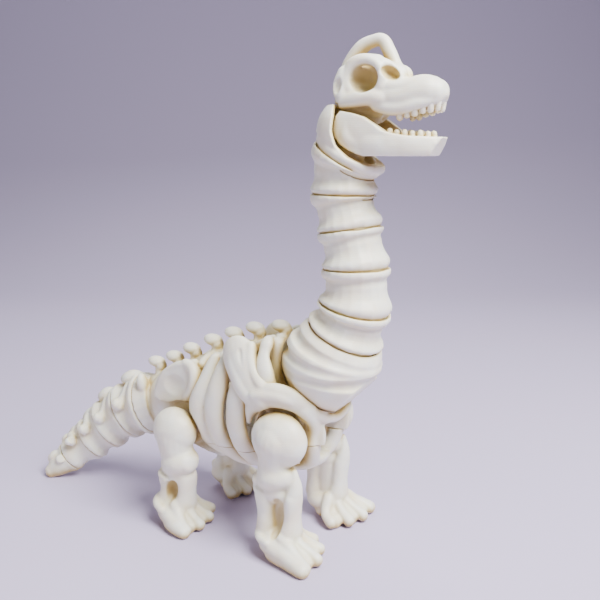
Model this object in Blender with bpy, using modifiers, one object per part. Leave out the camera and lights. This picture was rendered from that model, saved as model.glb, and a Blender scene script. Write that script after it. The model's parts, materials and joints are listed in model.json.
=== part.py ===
"""Print-in-place toy: the jointed skeleton of a brachiosaur, standing with its head raised.

Sizes are millimetres, turned to metres where a mesh is made. +X runs towards the head, +Y to the
animal's left and +Z up. The origin is on the floor under the middle of the toy.
"""

import math

import bmesh
import bpy
from mathutils import Matrix, Vector

MM = 0.001
PRINT_GAP = 0.5  # between two faces that slide on each other
SEAM = 0.45  # between two nodes of one printed piece
STERNUM_TOP = 46.0

# The trunk ball is the root of the neck.
BALL_CENTRE = (54.3, 0.0, 77.5)
BALL_RADIUS = 20.0
BALL_FACET = (0.72, 0.0, -0.69)  # faces the flat that the ball was printed on
BALL_FACET_DEPTH = 15.9

# Neck joints from the trunk up: x, z, tilt of the rim (degrees forward), rim radius, dome radius.
NECK_JOINTS = (
    (59.5, 89.2, 25, 14.7, 16.6),
    (63.6, 100.2, 13, 13.3, 15.0),
    (64.0, 115.5, -2, 12.2, 13.8),
    (61.3, 130.0, -8, 11.7, 13.2),
    (58.5, 143.0, 1, 11.6, 13.1),
    (60.2, 156.0, 30, 13.1, 14.8),
)
NECK_SIDES = 16

SKULL_PIVOT = (63.0, 165.0)
BOWL_RADIUS = 12.9
BOWL_WALL = 1.7
SKULL_BALL = 6.6

# The bowl's side edge, (x, z) from the back of its rim down and out to the front lip.
BOWL_EDGE = (
    (49.0, 175.2),
    (58.4, 175.2),
    (58.6, 165.0),
    (61.0, 159.6),
    (66.0, 156.0),
    (78.0, 150.6),
)

JAW_PIVOT = (65.5, 166.5)
JAW_FLOOR = 157.1
CHIN_TOP = (97.6, 163.6)
CHIN_FOOT = (93.6, JAW_FLOOR)

# Teeth: x, half width of the row and z where they leave the jaw, back to front.
UPPER_TEETH = (
    (82.9, 6.4, 172.6),
    (85.5, 6.2, 173.0),
    (88.2, 5.9, 173.7),
    (91.0, 5.3, 174.4),
    (93.4, 4.5, 174.9),
    (95.3, 3.1, 175.1),
)
LOWER_TEETH = (
    (82.0, 6.3, 163.3),
    (84.6, 6.0, 163.1),
    (87.2, 5.6, 162.9),
    (89.8, 5.1, 162.8),
    (92.1, 4.4, 162.7),
)

# Legs, for the animal's left side.
LEG_Y = 20.0
SHOULDER = (41.7, 48.7)
HIP = (-10.9, 42.3)

# Tail joints from the trunk back: x, y, z, drop (degrees below level), turn (degrees to the right),
# half width, half height, dome radius.
TAIL_JOINTS = (
    (-42.5, 0.0, 43.0, 20, 0, 11.5, 14.3, 17.0),
    (-55.5, -0.6, 37.0, 32, 4, 10.3, 12.8, 15.2),
    (-67.6, -2.4, 28.2, 40, 10, 9.2, 11.9, 14.0),
    (-77.2, -5.3, 19.7, 42, 18, 7.8, 10.3, 12.2),
    (-87.0, -10.6, 10.3, 42, 27, 5.8, 7.6, 9.2),
)
TAIL_TIP = (-94.8, -16.4, 3.0)
TAIL_SIDES = 14

# Tops of the spines on the back and the tail, front to back: x, y, z.
BACK_SPINES = (
    (29.9, 0.0, 91.3),
    (17.0, 0.0, 88.9),
    (6.1, 0.0, 85.4),
    (-5.2, 0.0, 80.9),
    (-17.1, 0.0, 75.3),
    (-27.1, 0.0, 70.2),
    (-38.1, 0.0, 66.2),
)
TAIL_SPINES = (
    (-54.9, 0.0, 56.4),
    (-71.2, -1.0, 44.4),
    (-80.2, -3.0, 33.0),
    (-87.7, -6.0, 23.6),
    (-93.5, -9.0, 17.1),
    (-97.0, -13.0, 9.2),
)
TAIL_WAISTS = ((0.15, 1.02), (0.5, 0.96), (0.85, 1.02))  # share of the length, scale of the skin
SPINE_CAP = (4.6, 3.3, 2.6)
BACKBONE_DROP = 12.5  # from a spine's top to the middle of the bones under it

# Ribs of the left side, front to back: stations of x, y, z from the backbone down to the belly.
RIBS = (
    ((31.0, 6.0, 82.5), (32.4, 11.5, 83.0), (33.0, 15.6, 78.0), (33.2, 17.0, 70.0), (33.2, 16.6, 61.0)),
    ((19.6, 6.0, 79.5), (20.4, 12.5, 77.0), (20.4, 17.0, 68.0), (19.4, 18.0, 57.0), (19.6, 16.6, 46.0),
     (22.0, 11.4, 35.5), (24.5, 5.0, 30.0)),
    ((8.0, 6.0, 76.5), (9.4, 12.0, 74.5), (9.0, 16.8, 66.0), (8.4, 18.0, 56.0), (9.0, 16.6, 46.0),
     (12.6, 11.4, 35.5), (17.5, 5.0, 29.5)),
    ((-3.0, 6.0, 71.5), (-0.4, 11.5, 71.0), (0.6, 16.2, 63.0), (-0.4, 17.8, 54.0), (1.6, 16.4, 45.0),
     (6.6, 11.4, 36.5), (12.0, 5.0, 30.5)),
)
RIB_RADIUS = 4.3
RIB_FLATNESS = 0.62

HUB_RADIUS = 3.4  # the pin that holds each leg to the trunk
HUB_END = 8.6  # how near the middle plane it reaches
SOCKET_FACE = 11.4  # the trunk's flat face beside each leg
SHOULDER_ROOM = 13.2  # radius of the room for the leg's head
HIP_ROOM = 11.6


def collection(name, hidden=False):
    made = bpy.data.collections.new(name)
    bpy.context.scene.collection.children.link(made)
    made.hide_render = hidden
    return made


def clear_scene():
    for obj in list(bpy.data.objects):
        bpy.data.objects.remove(obj, do_unlink=True)


def bone_plastic():
    """Satin bone-white PLA."""
    material = bpy.data.materials.new("bone white PLA")
    material.use_nodes = True
    shader = material.node_tree.nodes["Principled BSDF"]
    shader.inputs["Base Color"].default_value = (0.84, 0.82, 0.74, 1.0)
    shader.inputs["Roughness"].default_value = 0.42
    shader.inputs["Metallic"].default_value = 0.0
    return material


def finish(name, bm):
    """The mesh as an object, in metres, with its faces pointing out."""
    bmesh.ops.recalc_face_normals(bm, faces=bm.faces)
    bmesh.ops.scale(bm, vec=(MM, MM, MM), verts=bm.verts)
    mesh = bpy.data.meshes.new(name)
    bm.to_mesh(mesh)
    bm.free()
    obj = bpy.data.objects.new(name, mesh)
    bpy.context.scene.collection.objects.link(obj)
    return obj


def bake(obj):
    """Applies the object's modifiers and drops what they leave unused."""
    graph = bpy.context.evaluated_depsgraph_get()
    graph.update()
    mesh = bpy.data.meshes.new_from_object(obj.evaluated_get(graph))
    old = obj.data
    obj.modifiers.clear()
    obj.data = mesh
    bpy.data.meshes.remove(old)
    mesh.name = obj.name
    return obj


def add_ball(bm, centre, radii, tilt=0.0, fineness=3):
    """An ellipsoid. Tilt, in degrees, turns its front up about the Y axis."""
    place = (
        Matrix.Translation(centre)
        @ Matrix.Rotation(-math.radians(tilt), 4, "Y")
        @ Matrix.Diagonal((*radii, 1.0))
    )
    bmesh.ops.create_icosphere(bm, subdivisions=fineness, radius=1.0, matrix=place)


def add_bar(bm, stations, thin=1.0, sides=16):
    """A rounded bar through stations of (x, y, z, radius). Thin flattens its section along Y."""
    for (*start, start_radius), (*end, end_radius) in zip(stations, stations[1:]):
        start, end = Vector(start), Vector(end)
        run = end - start
        turn = run.to_track_quat("Z", "Y").to_matrix().to_4x4()
        before = len(bm.verts)
        bmesh.ops.create_cone(
            bm,
            cap_ends=True,
            segments=sides,
            radius1=start_radius,
            radius2=end_radius,
            depth=run.length,
            matrix=Matrix.Translation((start + end) / 2) @ turn,
        )
        for centre, radius in ((start, start_radius), (end, end_radius)):
            bmesh.ops.create_icosphere(
                bm, subdivisions=2, radius=radius, matrix=Matrix.Translation(centre)
            )
        bm.verts.ensure_lookup_table()
        for vert in bm.verts[before:]:
            along = min(max((vert.co - start).dot(run) / run.length_squared, 0.0), 1.0)
            middle = start.y + along * run.y
            vert.co.y = middle + (vert.co.y - middle) * thin


def add_block(bm, low, high):
    """A box between two corners."""
    low, high = Vector(low), Vector(high)
    place = Matrix.Translation((low + high) / 2) @ Matrix.Diagonal((*(high - low), 1.0))
    bmesh.ops.create_cube(bm, size=1.0, matrix=place)


def add_slab(bm, place, outward, size=60.0):
    """A block whose one face passes through a place and that fills the side it faces away from."""
    turn = outward.to_track_quat("Z", "Y").to_matrix().to_4x4()
    middle = Matrix.Translation(place + outward * size / 2) @ turn
    bmesh.ops.create_cube(bm, size=size, matrix=middle)


def add_prism(bm, outline, width):
    """A flat outline of (x, z) points carried across the middle plane."""
    near = [bm.verts.new((x, -width / 2, z)) for x, z in outline]
    face = bm.faces.new(near)
    made = bmesh.ops.extrude_face_region(bm, geom=[face])["geom"]
    far = [item for item in made if isinstance(item, bmesh.types.BMVert)]
    bmesh.ops.translate(bm, verts=far, vec=(0, width, 0))


def add_tooth(bm, base, length, radius=1.2):
    """A blunt peg. A negative length points down."""
    turn = Matrix.Rotation(math.radians(180), 4, "X") if length < 0 else Matrix()
    bmesh.ops.create_cone(
        bm,
        cap_ends=True,
        segments=5,
        radius1=radius,
        radius2=radius * 0.65,
        depth=abs(length),
        matrix=Matrix.Translation(Vector(base) + Vector((0, 0, length / 2))) @ turn,
    )


def add_rod(bm, centre, radius, length, sides=16):
    """A cylinder along Y."""
    turn = Matrix.Rotation(math.radians(90), 4, "X")
    bmesh.ops.create_cone(
        bm,
        cap_ends=True,
        segments=sides,
        radius1=radius,
        radius2=radius,
        depth=length,
        matrix=Matrix.Translation(centre) @ turn,
    )


def moulded(name, bm, voxel, smoothing):
    """Melts overlapping shapes into one smooth skin."""
    obj = finish(name, bm)
    melt = obj.modifiers.new("melt", "REMESH")
    melt.mode = "VOXEL"
    melt.voxel_size = voxel * MM
    soften = obj.modifiers.new("soften", "SMOOTH")
    soften.factor = 0.5
    soften.iterations = smoothing
    return bake(obj)


def thinned(obj, triangles, voxel=0.6):
    """Renews a skin that has been cut, and brings it down to about the triangles asked for."""
    renew = obj.modifiers.new("renew", "REMESH")
    renew.mode = "VOXEL"
    renew.voxel_size = voxel * MM
    bake(obj)
    thin = obj.modifiers.new("thin", "DECIMATE")
    corners = sum(len(face.vertices) - 2 for face in obj.data.polygons)
    thin.ratio = min(1.0, triangles / corners)
    return bake(obj)


def combine(obj, other, operation, crossing=False):
    """A Boolean. Crossing is for a second shape whose own faces pass through each other."""
    step = obj.modifiers.new(operation.lower(), "BOOLEAN")
    step.operation = operation
    step.object = other
    step.use_self = crossing
    bake(obj)
    bpy.data.objects.remove(other, do_unlink=True)
    return obj


def cut(obj, bm):
    return combine(obj, finish("cutter", bm), "DIFFERENCE")


def join(obj, bm):
    return combine(obj, finish("addition", bm), "UNION", crossing=True)


def grown(obj, gap=SEAM):
    """A copy whose skin stands out by the gap."""
    copy = bpy.data.objects.new("grown", obj.data.copy())
    bpy.context.scene.collection.objects.link(copy)
    grow = copy.modifiers.new("grow", "DISPLACE")
    grow.mid_level = 0.0
    grow.strength = gap * MM
    return bake(copy)


def clear_of(obj, neighbour):
    """Cuts a copy of the neighbour out of the object."""
    copy = bpy.data.objects.new("copy", neighbour.data.copy())
    bpy.context.scene.collection.objects.link(copy)
    return combine(obj, copy, "DIFFERENCE")


def cut_ball(obj, centre, radius, fineness=4):
    """Cuts a ball out, with its flats no nearer its centre than the radius."""
    wide = radius * (1 + 0.26 / 4 ** (fineness - 1))
    bm = bmesh.new()
    add_ball(bm, centre, (wide,) * 3, fineness=fineness)
    return cut(obj, bm)


def biggest_piece(obj):
    """Drops the crumbs that a cut can leave beside the piece."""
    bm = bmesh.new()
    bm.from_mesh(obj.data)
    left = set(bm.verts)
    pieces = []
    while left:
        piece = set()
        front = [next(iter(left))]
        while front:
            vert = front.pop()
            if vert not in piece:
                piece.add(vert)
                front += [edge.other_vert(vert) for edge in vert.link_edges]
        left -= piece
        pieces.append(piece)
    pieces.sort(key=len)
    crumbs = [vert for piece in pieces[:-1] for vert in piece]
    bmesh.ops.delete(bm, geom=crumbs, context="VERTS")
    bm.to_mesh(obj.data)
    bm.free()
    return obj


def both_sides(stations, side):
    """The same stations on the animal's left (side 1) or right (side -1)."""
    return [(x, side * y, z, radius) for x, y, z, radius in stations]


def mirrored(obj, name):
    """A copy on the other side of the middle plane."""
    bm = bmesh.new()
    bm.from_mesh(obj.data)
    bmesh.ops.scale(bm, vec=(1.0, -1.0, 1.0), verts=bm.verts)
    bmesh.ops.scale(bm, vec=(1 / MM,) * 3, verts=bm.verts)
    return finish(name, bm)


class Joint:
    """A ball joint: the far piece's dome sits in the near piece's cup, both round one centre."""

    def __init__(self, place, normal, half_width, half_height, dome_radius):
        self.place = Vector(place)
        self.normal = Vector(normal).normalized()
        self.radius = dome_radius
        rim = max(half_width, half_height)
        self.centre = self.place + self.normal * math.sqrt(dome_radius**2 - rim**2)
        self.side = Vector((0, 0, 1)).cross(self.normal)
        if self.side.length < 0.1 or abs(self.normal.z) > 0.8:
            self.side = Vector((0, 1, 0))
        self.side = (self.side - self.side.dot(self.normal) * self.normal).normalized()
        self.up = self.normal.cross(self.side)
        self.half_width = half_width
        self.half_height = half_height

    def directions(self, sides):
        """Unit directions from the dome's centre to the rim."""
        found = []
        for step in range(sides):
            angle = 2 * math.pi * step / sides
            offset = (
                self.side * self.half_width * math.cos(angle)
                + self.up * self.half_height * math.sin(angle)
            )
            found.append((self.place + offset - self.centre).normalized())
        return found

    def ring(self, sides, radius, share):
        """Points on a sphere round the centre, at a share of the way from its pole to the rim."""
        pole = -self.normal
        return [
            self.centre + radius * pole.slerp(direction, share)
            for direction in self.directions(sides)
        ]


def loft(rings, first_pole, last_pole):
    """Skins rings of equal count and closes both ends on a pole."""
    bm = bmesh.new()
    rows = [[bm.verts.new(point) for point in ring] for ring in rings]
    count = len(rows[0])
    for row, following in zip(rows, rows[1:]):
        for i in range(count):
            j = (i + 1) % count
            bm.faces.new((row[i], row[j], following[j], following[i]))
    for pole, row in ((first_pole, rows[0]), (last_pole, rows[-1])):
        tip = bm.verts.new(pole)
        for i in range(count):
            bm.faces.new((row[i], row[(i + 1) % count], tip))
    return bm


def cup_growth(sides, steps, joint):
    """How much wider a faceted cup is than its sphere, so that the dome clears its flats."""
    reach = math.asin(min(joint.half_width, joint.half_height) / joint.radius)
    return 1 / (math.cos(math.pi / sides) * math.cos(reach / steps / 2))


def spool(start, end, waists, sides):
    """A piece with a dome at its start and a cup at its end. Waists are (share, scale) of its skin."""
    steps = 3
    rings = [start.ring(sides, start.radius, k / steps) for k in range(1, steps + 1)]
    low = rings[-1]
    high = end.ring(sides, end.radius + PRINT_GAP, 1.0)
    for share, scale in waists:
        ring = [a.lerp(b, share) for a, b in zip(low, high)]
        middle = sum(ring, Vector()) / sides
        rings.append([middle + (point - middle) * scale for point in ring])
    rings.append(high)
    wide = (end.radius + PRINT_GAP) * cup_growth(sides, steps, end)
    rings += [end.ring(sides, wide, k / steps) for k in range(steps - 1, 0, -1)]
    return loft(rings, start.centre - start.normal * start.radius, end.centre - end.normal * wide)


def neck_joint(x, z, tilt, rim, dome):
    lean = math.radians(tilt)
    return Joint((x, 0, z), (math.sin(lean), 0, math.cos(lean)), rim, rim, dome)


def tail_joint(x, y, z, drop, turn, half_width, half_height, dome):
    down, aside = math.radians(drop), math.radians(turn)
    back = (
        -math.cos(down) * math.cos(aside),
        -math.cos(down) * math.sin(aside),
        -math.sin(down),
    )
    return Joint((x, y, z), back, half_width, half_height, dome)


def neck():
    """Seven pieces: the ball in the chest, five spools and the bowl that holds the skull."""
    joints = [neck_joint(*row) for row in NECK_JOINTS]
    made = [neck_ball(joints[0])]
    waists = (
        ((0.2, 1.04), (0.5, 0.98), (0.8, 1.03)),
        ((0.2, 1.05), (0.55, 0.96), (0.85, 1.05)),
        ((0.18, 1.06), (0.5, 0.96), (0.82, 1.06)),
        ((0.18, 1.05), (0.5, 0.95), (0.82, 1.04)),
        ((0.18, 1.05), (0.5, 0.95), (0.8, 1.02), (0.93, 1.05)),
    )
    for number, (start, end, waist) in enumerate(zip(joints, joints[1:], waists), 2):
        made.append(finish(f"neck_{number}", spool(start, end, waist, NECK_SIDES)))
    made.append(neck_bowl(joints[-1]))
    return made


def neck_ball(joint):
    """The ball that fills the chest opening, cut flat low in front where it was printed."""
    sides = 20
    centre = Vector(BALL_CENTRE)
    pole = -joint.normal
    rim = joint.ring(sides, joint.radius + PRINT_GAP, 1.0)
    rings = []
    for share in (0.14, 0.28, 0.42, 0.56, 0.7, 0.84):
        rings.append(
            [centre + BALL_RADIUS * pole.slerp((point - centre).normalized(), share) for point in rim]
        )
    rings.append(rim)
    wide = (joint.radius + PRINT_GAP) * cup_growth(sides, 3, joint)
    rings += [joint.ring(sides, wide, share) for share in (2 / 3, 1 / 3)]
    bm = loft(rings, centre + BALL_RADIUS * pole, joint.centre - joint.normal * wide)
    ball = finish("neck_1", bm)
    outward = Vector(BALL_FACET).normalized()
    bm = bmesh.new()
    add_slab(bm, centre + outward * BALL_FACET_DEPTH, outward)
    return cut(ball, bm)


def neck_bowl(joint):
    """The last neck piece: a bowl open to the front, high behind the skull and low at its sides."""
    x, z = SKULL_PIVOT
    centre = Vector((x, 0, z))
    steps = 3
    rings = [joint.ring(NECK_SIDES, joint.radius, k / steps) for k in range(1, steps + 1)]
    for rise, scale in ((1.6, 1.08), (3.2, 1.04), (6.0, 0.9)):
        middle = joint.place + joint.normal * rise
        rings.append([middle + (point - joint.place) * scale for point in rings[2]])
    bm = loft(rings, joint.centre - joint.normal * joint.radius, centre)
    bowl = finish("neck_7", bm)
    bm = bmesh.new()
    add_ball(bm, centre, (BOWL_RADIUS + BOWL_WALL,) * 3)
    join(bowl, bm)
    cut_ball(bowl, centre, BOWL_RADIUS, fineness=3)
    low, high = BOWL_EDGE[-1][1] - 5, BOWL_EDGE[0][1] + 20
    bm = bmesh.new()
    add_prism(bm, (*BOWL_EDGE, (95.0, low), (95.0, high), (BOWL_EDGE[0][0], high)), 40)
    cut(bowl, bm)
    bm = bmesh.new()
    floor = centre + Vector((-0.35, 0, -0.94)) * (BOWL_RADIUS + 1)
    add_bar(bm, [(*floor, 6.4), (*(centre - Vector((1, 0, 5))), 5.4)], sides=12)
    join(bowl, bm)
    thinned(trim_to_joint(bowl, joint), 480)
    return cut_ball(bowl, centre, SKULL_BALL + PRINT_GAP, fineness=2)


def trim_to_joint(obj, joint):
    """Removes what reaches back past a joint's rim, outside its dome."""
    bm = bmesh.new()
    add_slab(bm, joint.place + joint.normal * PRINT_GAP, -joint.normal)
    past = cut_ball(finish("past", bm), joint.centre, joint.radius)
    return combine(obj, past, "DIFFERENCE")


def tail():
    """Five pieces, each with the spines and side knobs that stand on it."""
    joints = [tail_joint(*row) for row in TAIL_JOINTS]
    made = []
    for number, (start, end) in enumerate(zip(joints, joints[1:]), 1):
        piece = finish(f"tail_{number}", spool(start, end, TAIL_WAISTS, TAIL_SIDES))
        add_tail_bones(piece, start, end, TAIL_SPINES[number - 1])
        trim_to_joint(piece, start)
        cut_ball(piece, end.centre, end.radius + PRINT_GAP)
        made.append(thinned(piece, 400))
    last = joints[-1]
    tip = finish("tail_5", tail_end(last))
    reach = Vector(TAIL_TIP) - last.place
    for share, spine in zip((0.5, 0.75), TAIL_SPINES[4:]):
        bm = bmesh.new()
        add_spine(bm, last.place + reach * share, spine, 0.62)
        join(tip, bm)
    thinned(trim_to_joint(tip, last), 320, voxel=0.45)
    made.append(stand_flat(tip))
    return made


def add_spine(bm, root, top, size):
    """A neck that rises from the root to a flattened cap."""
    root, top = Vector(root), Vector(top)
    rise = (top - root).normalized()
    cap = Vector(SPINE_CAP) * size
    add_bar(bm, [(*root, cap.x * 0.9), (*(top - rise * cap.z * 1.6), cap.x * 0.62)], sides=8)
    tilt = math.degrees(math.atan2(-rise.x, rise.z))
    add_ball(bm, top - rise * cap.z, cap, tilt=-tilt, fineness=2)


def add_tail_bones(piece, start, end, top):
    """Joins a spine and a knob on each side to a tail piece."""
    middle = start.place.lerp(end.place, 0.45)
    size = 0.35 + 0.65 * start.half_height / TAIL_JOINTS[0][6]
    bm = bmesh.new()
    add_spine(bm, middle + start.up * 2, top, size)
    join(piece, bm)
    for side in (-1, 1):
        out = start.side * side * start.half_width
        knob = middle + out * 0.93 + start.up * start.half_height * 0.3
        bm = bmesh.new()
        add_ball(bm, knob, (3.4 * size, 3.0 * size, 3.4 * size), fineness=2)
        join(piece, bm)


def tail_end(joint):
    """The last piece, which narrows to a blunt tip on the floor."""
    steps = 3
    rings = [joint.ring(TAIL_SIDES, joint.radius, k / steps) for k in range(1, steps + 1)]
    low = rings[-1]
    tip = Vector(TAIL_TIP)
    for share, scale in ((0.3, 0.94), (0.6, 0.82), (0.85, 0.68), (0.97, 0.45)):
        middle = joint.place.lerp(tip, share)
        rings.append([middle + (point - joint.place) * scale for point in low])
    return loft(rings, joint.centre - joint.normal * joint.radius, tip)


def front_leg():
    """The whole front leg and foot are one piece, turning on a pin at the shoulder."""
    x, z = SHOULDER
    y = LEG_Y
    bm = bmesh.new()
    add_ball(bm, (x, y, z), (12.0, 7.6, 11.0))
    add_bar(bm, [(x - 0.5, y, z - 6, 8.6), (x - 3.0, y, 37.0, 7.0), (x - 3.5, y, 31.0, 7.6)], thin=0.95)
    add_ball(bm, (x - 3.2, y, 28.8), (10.6, 8.2, 5.4), tilt=8)
    add_bar(bm, [(x - 6.8, y, 27.0, 4.9), (x - 6.2, y, 18.0, 4.2), (x - 5.4, y, 9.0, 4.9)], thin=1.2)
    add_bar(bm, [(x + 2.6, y, 26.0, 4.5), (x + 3.6, y, 18.0, 3.9), (x + 4.0, y, 10.0, 4.8)], thin=1.2)
    add_ball(bm, (x - 0.5, y, 7.5), (9.4, 8.6, 5.9))
    add_ball(bm, (x + 1.0, y + 0.5, 3.5), (5.8, 8.4, 4.4))
    add_toes(bm, x + 3.5, ((51.0, 7.6), (57.0, 13.2), (59.8, 21.2), (58.6, 29.3)))
    add_bar(bm, [(x + 0.5, y + 4.4, 3.6, 4.0), (x + 7.5, y + 6.0, 3.9, 4.4), (58.6, 29.2, 2.8, 3.2)])
    return finish_leg("leg_front_left", bm, SHOULDER)


def hind_leg():
    x, z = HIP
    y = LEG_Y
    bm = bmesh.new()
    add_ball(bm, (x, y, z), (10.4, 7.5, 9.9))
    add_bar(bm, [(x, y, z - 5, 7.8), (x + 1.4, y, 32.5, 6.5), (x + 2.8, y, 27.5, 7.3)], thin=0.98)
    add_ball(bm, (x + 3.0, y, 25.2), (9.8, 8.1, 5.2), tilt=12)
    add_bar(bm, [(x - 3.0, y, 22.0, 5.3), (x - 2.6, y, 15.0, 4.0), (x - 3.6, y, 8.5, 5.2)], thin=1.25)
    add_bar(bm, [(x + 4.2, y, 22.0, 4.2), (x + 4.0, y, 15.0, 3.6), (x + 3.8, y, 9.0, 4.8)], thin=1.25)
    add_ball(bm, (x - 1.0, y, 7.0), (9.8, 8.2, 5.9))
    add_ball(bm, (x + 1.5, y + 0.5, 3.5), (5.8, 8.4, 4.4))
    add_toes(bm, x + 2.5, ((-1.6, 8.0), (2.6, 15.0), (3.2, 22.4), (1.0, 29.8)))
    add_bar(bm, [(x + 1.0, y + 5.0, 3.6, 4.0), (x + 5.0, y + 7.6, 3.8, 4.2), (0.8, 29.8, 2.8, 3.2)])
    return finish_leg("leg_hind_left", bm, HIP)


def add_toes(bm, knuckle_x, tips):
    """Four toes that spread from the foot to their tips, given as x, y."""
    for number, (tip_x, tip_y) in enumerate(tips):
        root_y = LEG_Y - 5.0 + 3.0 * number
        middle = (tip_x - 3.8, 0.75 * tip_y + 0.25 * root_y, 4.2, 3.5)
        add_bar(bm, [(knuckle_x, root_y, 9.3, 4.6), middle, (tip_x - 0.6, tip_y, 2.7, 3.1)])


def finish_leg(name, bm, pivot):
    leg = moulded(name, bm, 0.7, 4)
    thinned(leg, 350)
    stand_flat(leg)
    x, z = pivot
    pin = bmesh.new()
    add_rod(pin, (x, (HUB_END + LEG_Y) / 2, z), HUB_RADIUS, LEG_Y - HUB_END, sides=16)
    return join(leg, pin)


def cut_socket(obj, pivot, side, reach):
    """Clears the room in which a leg's head turns."""
    x, z = pivot
    bm = bmesh.new()
    add_rod(bm, (x, side * (SOCKET_FACE + 10), z), reach, 20, sides=28)
    return cut(obj, bm)


def cut_pin_hole(obj, pivot, side):
    x, z = pivot
    bm = bmesh.new()
    add_rod(bm, (x, side * (HUB_END - PRINT_GAP + 5), z), HUB_RADIUS + PRINT_GAP, 10, sides=16)
    return cut(obj, bm)


def stand_flat(obj):
    """Cuts the underside level with the floor."""
    bm = bmesh.new()
    add_block(bm, (-150, -60, -20), (150, 60, 0))
    return cut(obj, bm)


def skull():
    """Upper skull with its nose arch, and the ball under it that sits in the bowl."""
    bm = bmesh.new()
    add_braincase(bm)
    for side in (-1, 1):
        add_snout(bm, side)
    head = moulded("skull", bm, 0.55, 2)
    cut_openings(head)
    cut_bowl_room(head)
    thinned(head, 680)
    x, z = SKULL_PIVOT
    bm = bmesh.new()
    add_ball(bm, (x, 0, z), (SKULL_BALL,) * 3, fineness=2)
    join(head, bm)
    return with_teeth(head, UPPER_TEETH, -3.1)


def add_braincase(bm):
    add_ball(bm, (64.4, 0, 181.2), (9.0, 8.4, 8.4))
    add_ball(bm, (62.6, 0, 179.0), (7.2, 8.8, 6.0))
    add_bar(bm, [(61.6, 0, 187.6, 3.2), (67.0, 0, 188.6, 3.2), (76.0, 0, 187.6, 3.2)])
    arch = ((61.2, 190.2, 3.2), (65.0, 194.9, 2.6), (69.3, 197.3, 2.5), (72.8, 197.3, 2.5))
    slope = ((75.6, 192.6, 2.5), (78.6, 187.2, 2.8), (82.0, 181.8, 3.4))
    add_bar(bm, [(x, 0, z, radius) for x, z, radius in arch + slope])
    add_bar(bm, [(61.5, 0, 176.0, 6.6), (62.5, 0, 170.0, 5.4)])


def add_snout(bm, side):
    """One side of the muzzle, the lip over its teeth, the cheek and the rim of the eye."""
    snout = [
        (75.0, 3.4, 177.6, 5.4),
        (83.0, 2.8, 177.7, 6.1),
        (90.2, 1.8, 179.0, 5.6),
        (92.9, 1.0, 178.2, 4.9),
    ]
    lip = [
        (74.0, 6.4, 173.6, 2.3),
        (82.0, 6.3, 172.8, 2.2),
        (89.0, 5.3, 174.8, 2.0),
        (94.3, 3.0, 176.2, 2.0),
    ]
    cheek = [(59.8, 6.8, 177.2, 3.0), (65.0, 8.0, 176.4, 2.6), (73.0, 7.0, 175.2, 3.0)]
    brow = [(74.5, 6.2, 189.0, 1.7), (80.0, 5.0, 187.4, 1.7), (83.6, 4.4, 183.4, 2.2)]
    for stations in (snout, lip, cheek, brow):
        add_bar(bm, both_sides(stations, side))
    eye = []
    for step in range(13):
        angle = 2 * math.pi * step / 12
        eye.append((70.2 + 6.2 * math.cos(angle), 7.8, 183.8 + 5.8 * math.sin(angle), 1.7))
    add_bar(bm, both_sides(eye, side))


def cut_openings(head):
    """Opens the eyes, the windows in front of them and the palate."""
    bm = bmesh.new()
    add_ball(bm, (70.4, 0, 183.8), (5.1, 30.0, 4.7), fineness=3)
    cut(head, bm)
    for side in (-1, 1):
        bm = bmesh.new()
        add_ball(bm, (79.2, side * 6.6, 184.9), (3.6, 3.4, 2.4), tilt=-30, fineness=2)
        cut(head, bm)
    bm = bmesh.new()
    add_ball(bm, (82.5, 0, 171.0), (11.0, 4.6, 3.6), fineness=2)
    cut(head, bm)


def cut_bowl_room(head):
    """Clears the skull of the bowl's back wall."""
    x, z = SKULL_PIVOT
    bm = bmesh.new()
    add_block(bm, (x - 20, -20, z - 10), (x - 2.5, 20, BOWL_EDGE[0][1] + 2 * PRINT_GAP))
    room = cut_ball(finish("room", bm), (x, 0, z), BOWL_RADIUS - PRINT_GAP)
    return combine(head, room, "DIFFERENCE")


def with_teeth(obj, teeth, length):
    for x, y, z in teeth:
        for side in (-1, 1):
            bm = bmesh.new()
            add_tooth(bm, (x, side * y, z), length)
            join(obj, bm)
    return obj


def jaw():
    """Lower jaw: a U of two flat-bottomed branches joined at the chin."""
    bm = bmesh.new()
    for side in (-1, 1):
        plate = [
            (64.6, 8.6, 167.6, 5.0),
            (66.8, 8.6, 164.2, 7.0),
            (71.0, 8.3, 163.2, 6.8),
            (76.0, 7.7, 161.2, 5.4),
        ]
        add_bar(bm, both_sides(plate, side), thin=0.3)
        branch = [
            (76.0, 7.7, 160.8, 4.6),
            (83.0, 6.9, 160.0, 4.0),
            (90.0, 5.5, 159.9, 3.9),
            (94.8, 2.6, 160.0, 3.9),
        ]
        add_bar(bm, both_sides(branch, side), thin=0.55)
    add_bar(bm, [(94.6, -2.6, 160.0, 3.9), (94.6, 2.6, 160.0, 3.9)])
    lower = moulded("jaw", bm, 0.5, 2)
    bm = bmesh.new()
    add_block(bm, (50, -20, 150), (110, 20, JAW_FLOOR))
    cut(lower, bm)
    bm = bmesh.new()
    beyond = ((CHIN_TOP[0], 180), (120, 180), (120, 140), (CHIN_FOOT[0], 140))
    add_prism(bm, (CHIN_FOOT, CHIN_TOP, *beyond), 40)
    cut(lower, bm)
    thinned(lower, 340)
    return with_teeth(lower, LOWER_TEETH, 2.4)


def backbone():
    """The row of vertebrae with their spines, from the trunk ball to the hips."""
    bm = bmesh.new()
    add_bar(bm, [(x, 0, z - BACKBONE_DROP, 4.9) for x, _, z in BACK_SPINES])
    for x, y, z in BACK_SPINES:
        add_spine(bm, (x + 1.2, 0, z - BACKBONE_DROP), (x, y, z), 1.0)
    return moulded("backbone", bm, 0.75, 2)


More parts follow.
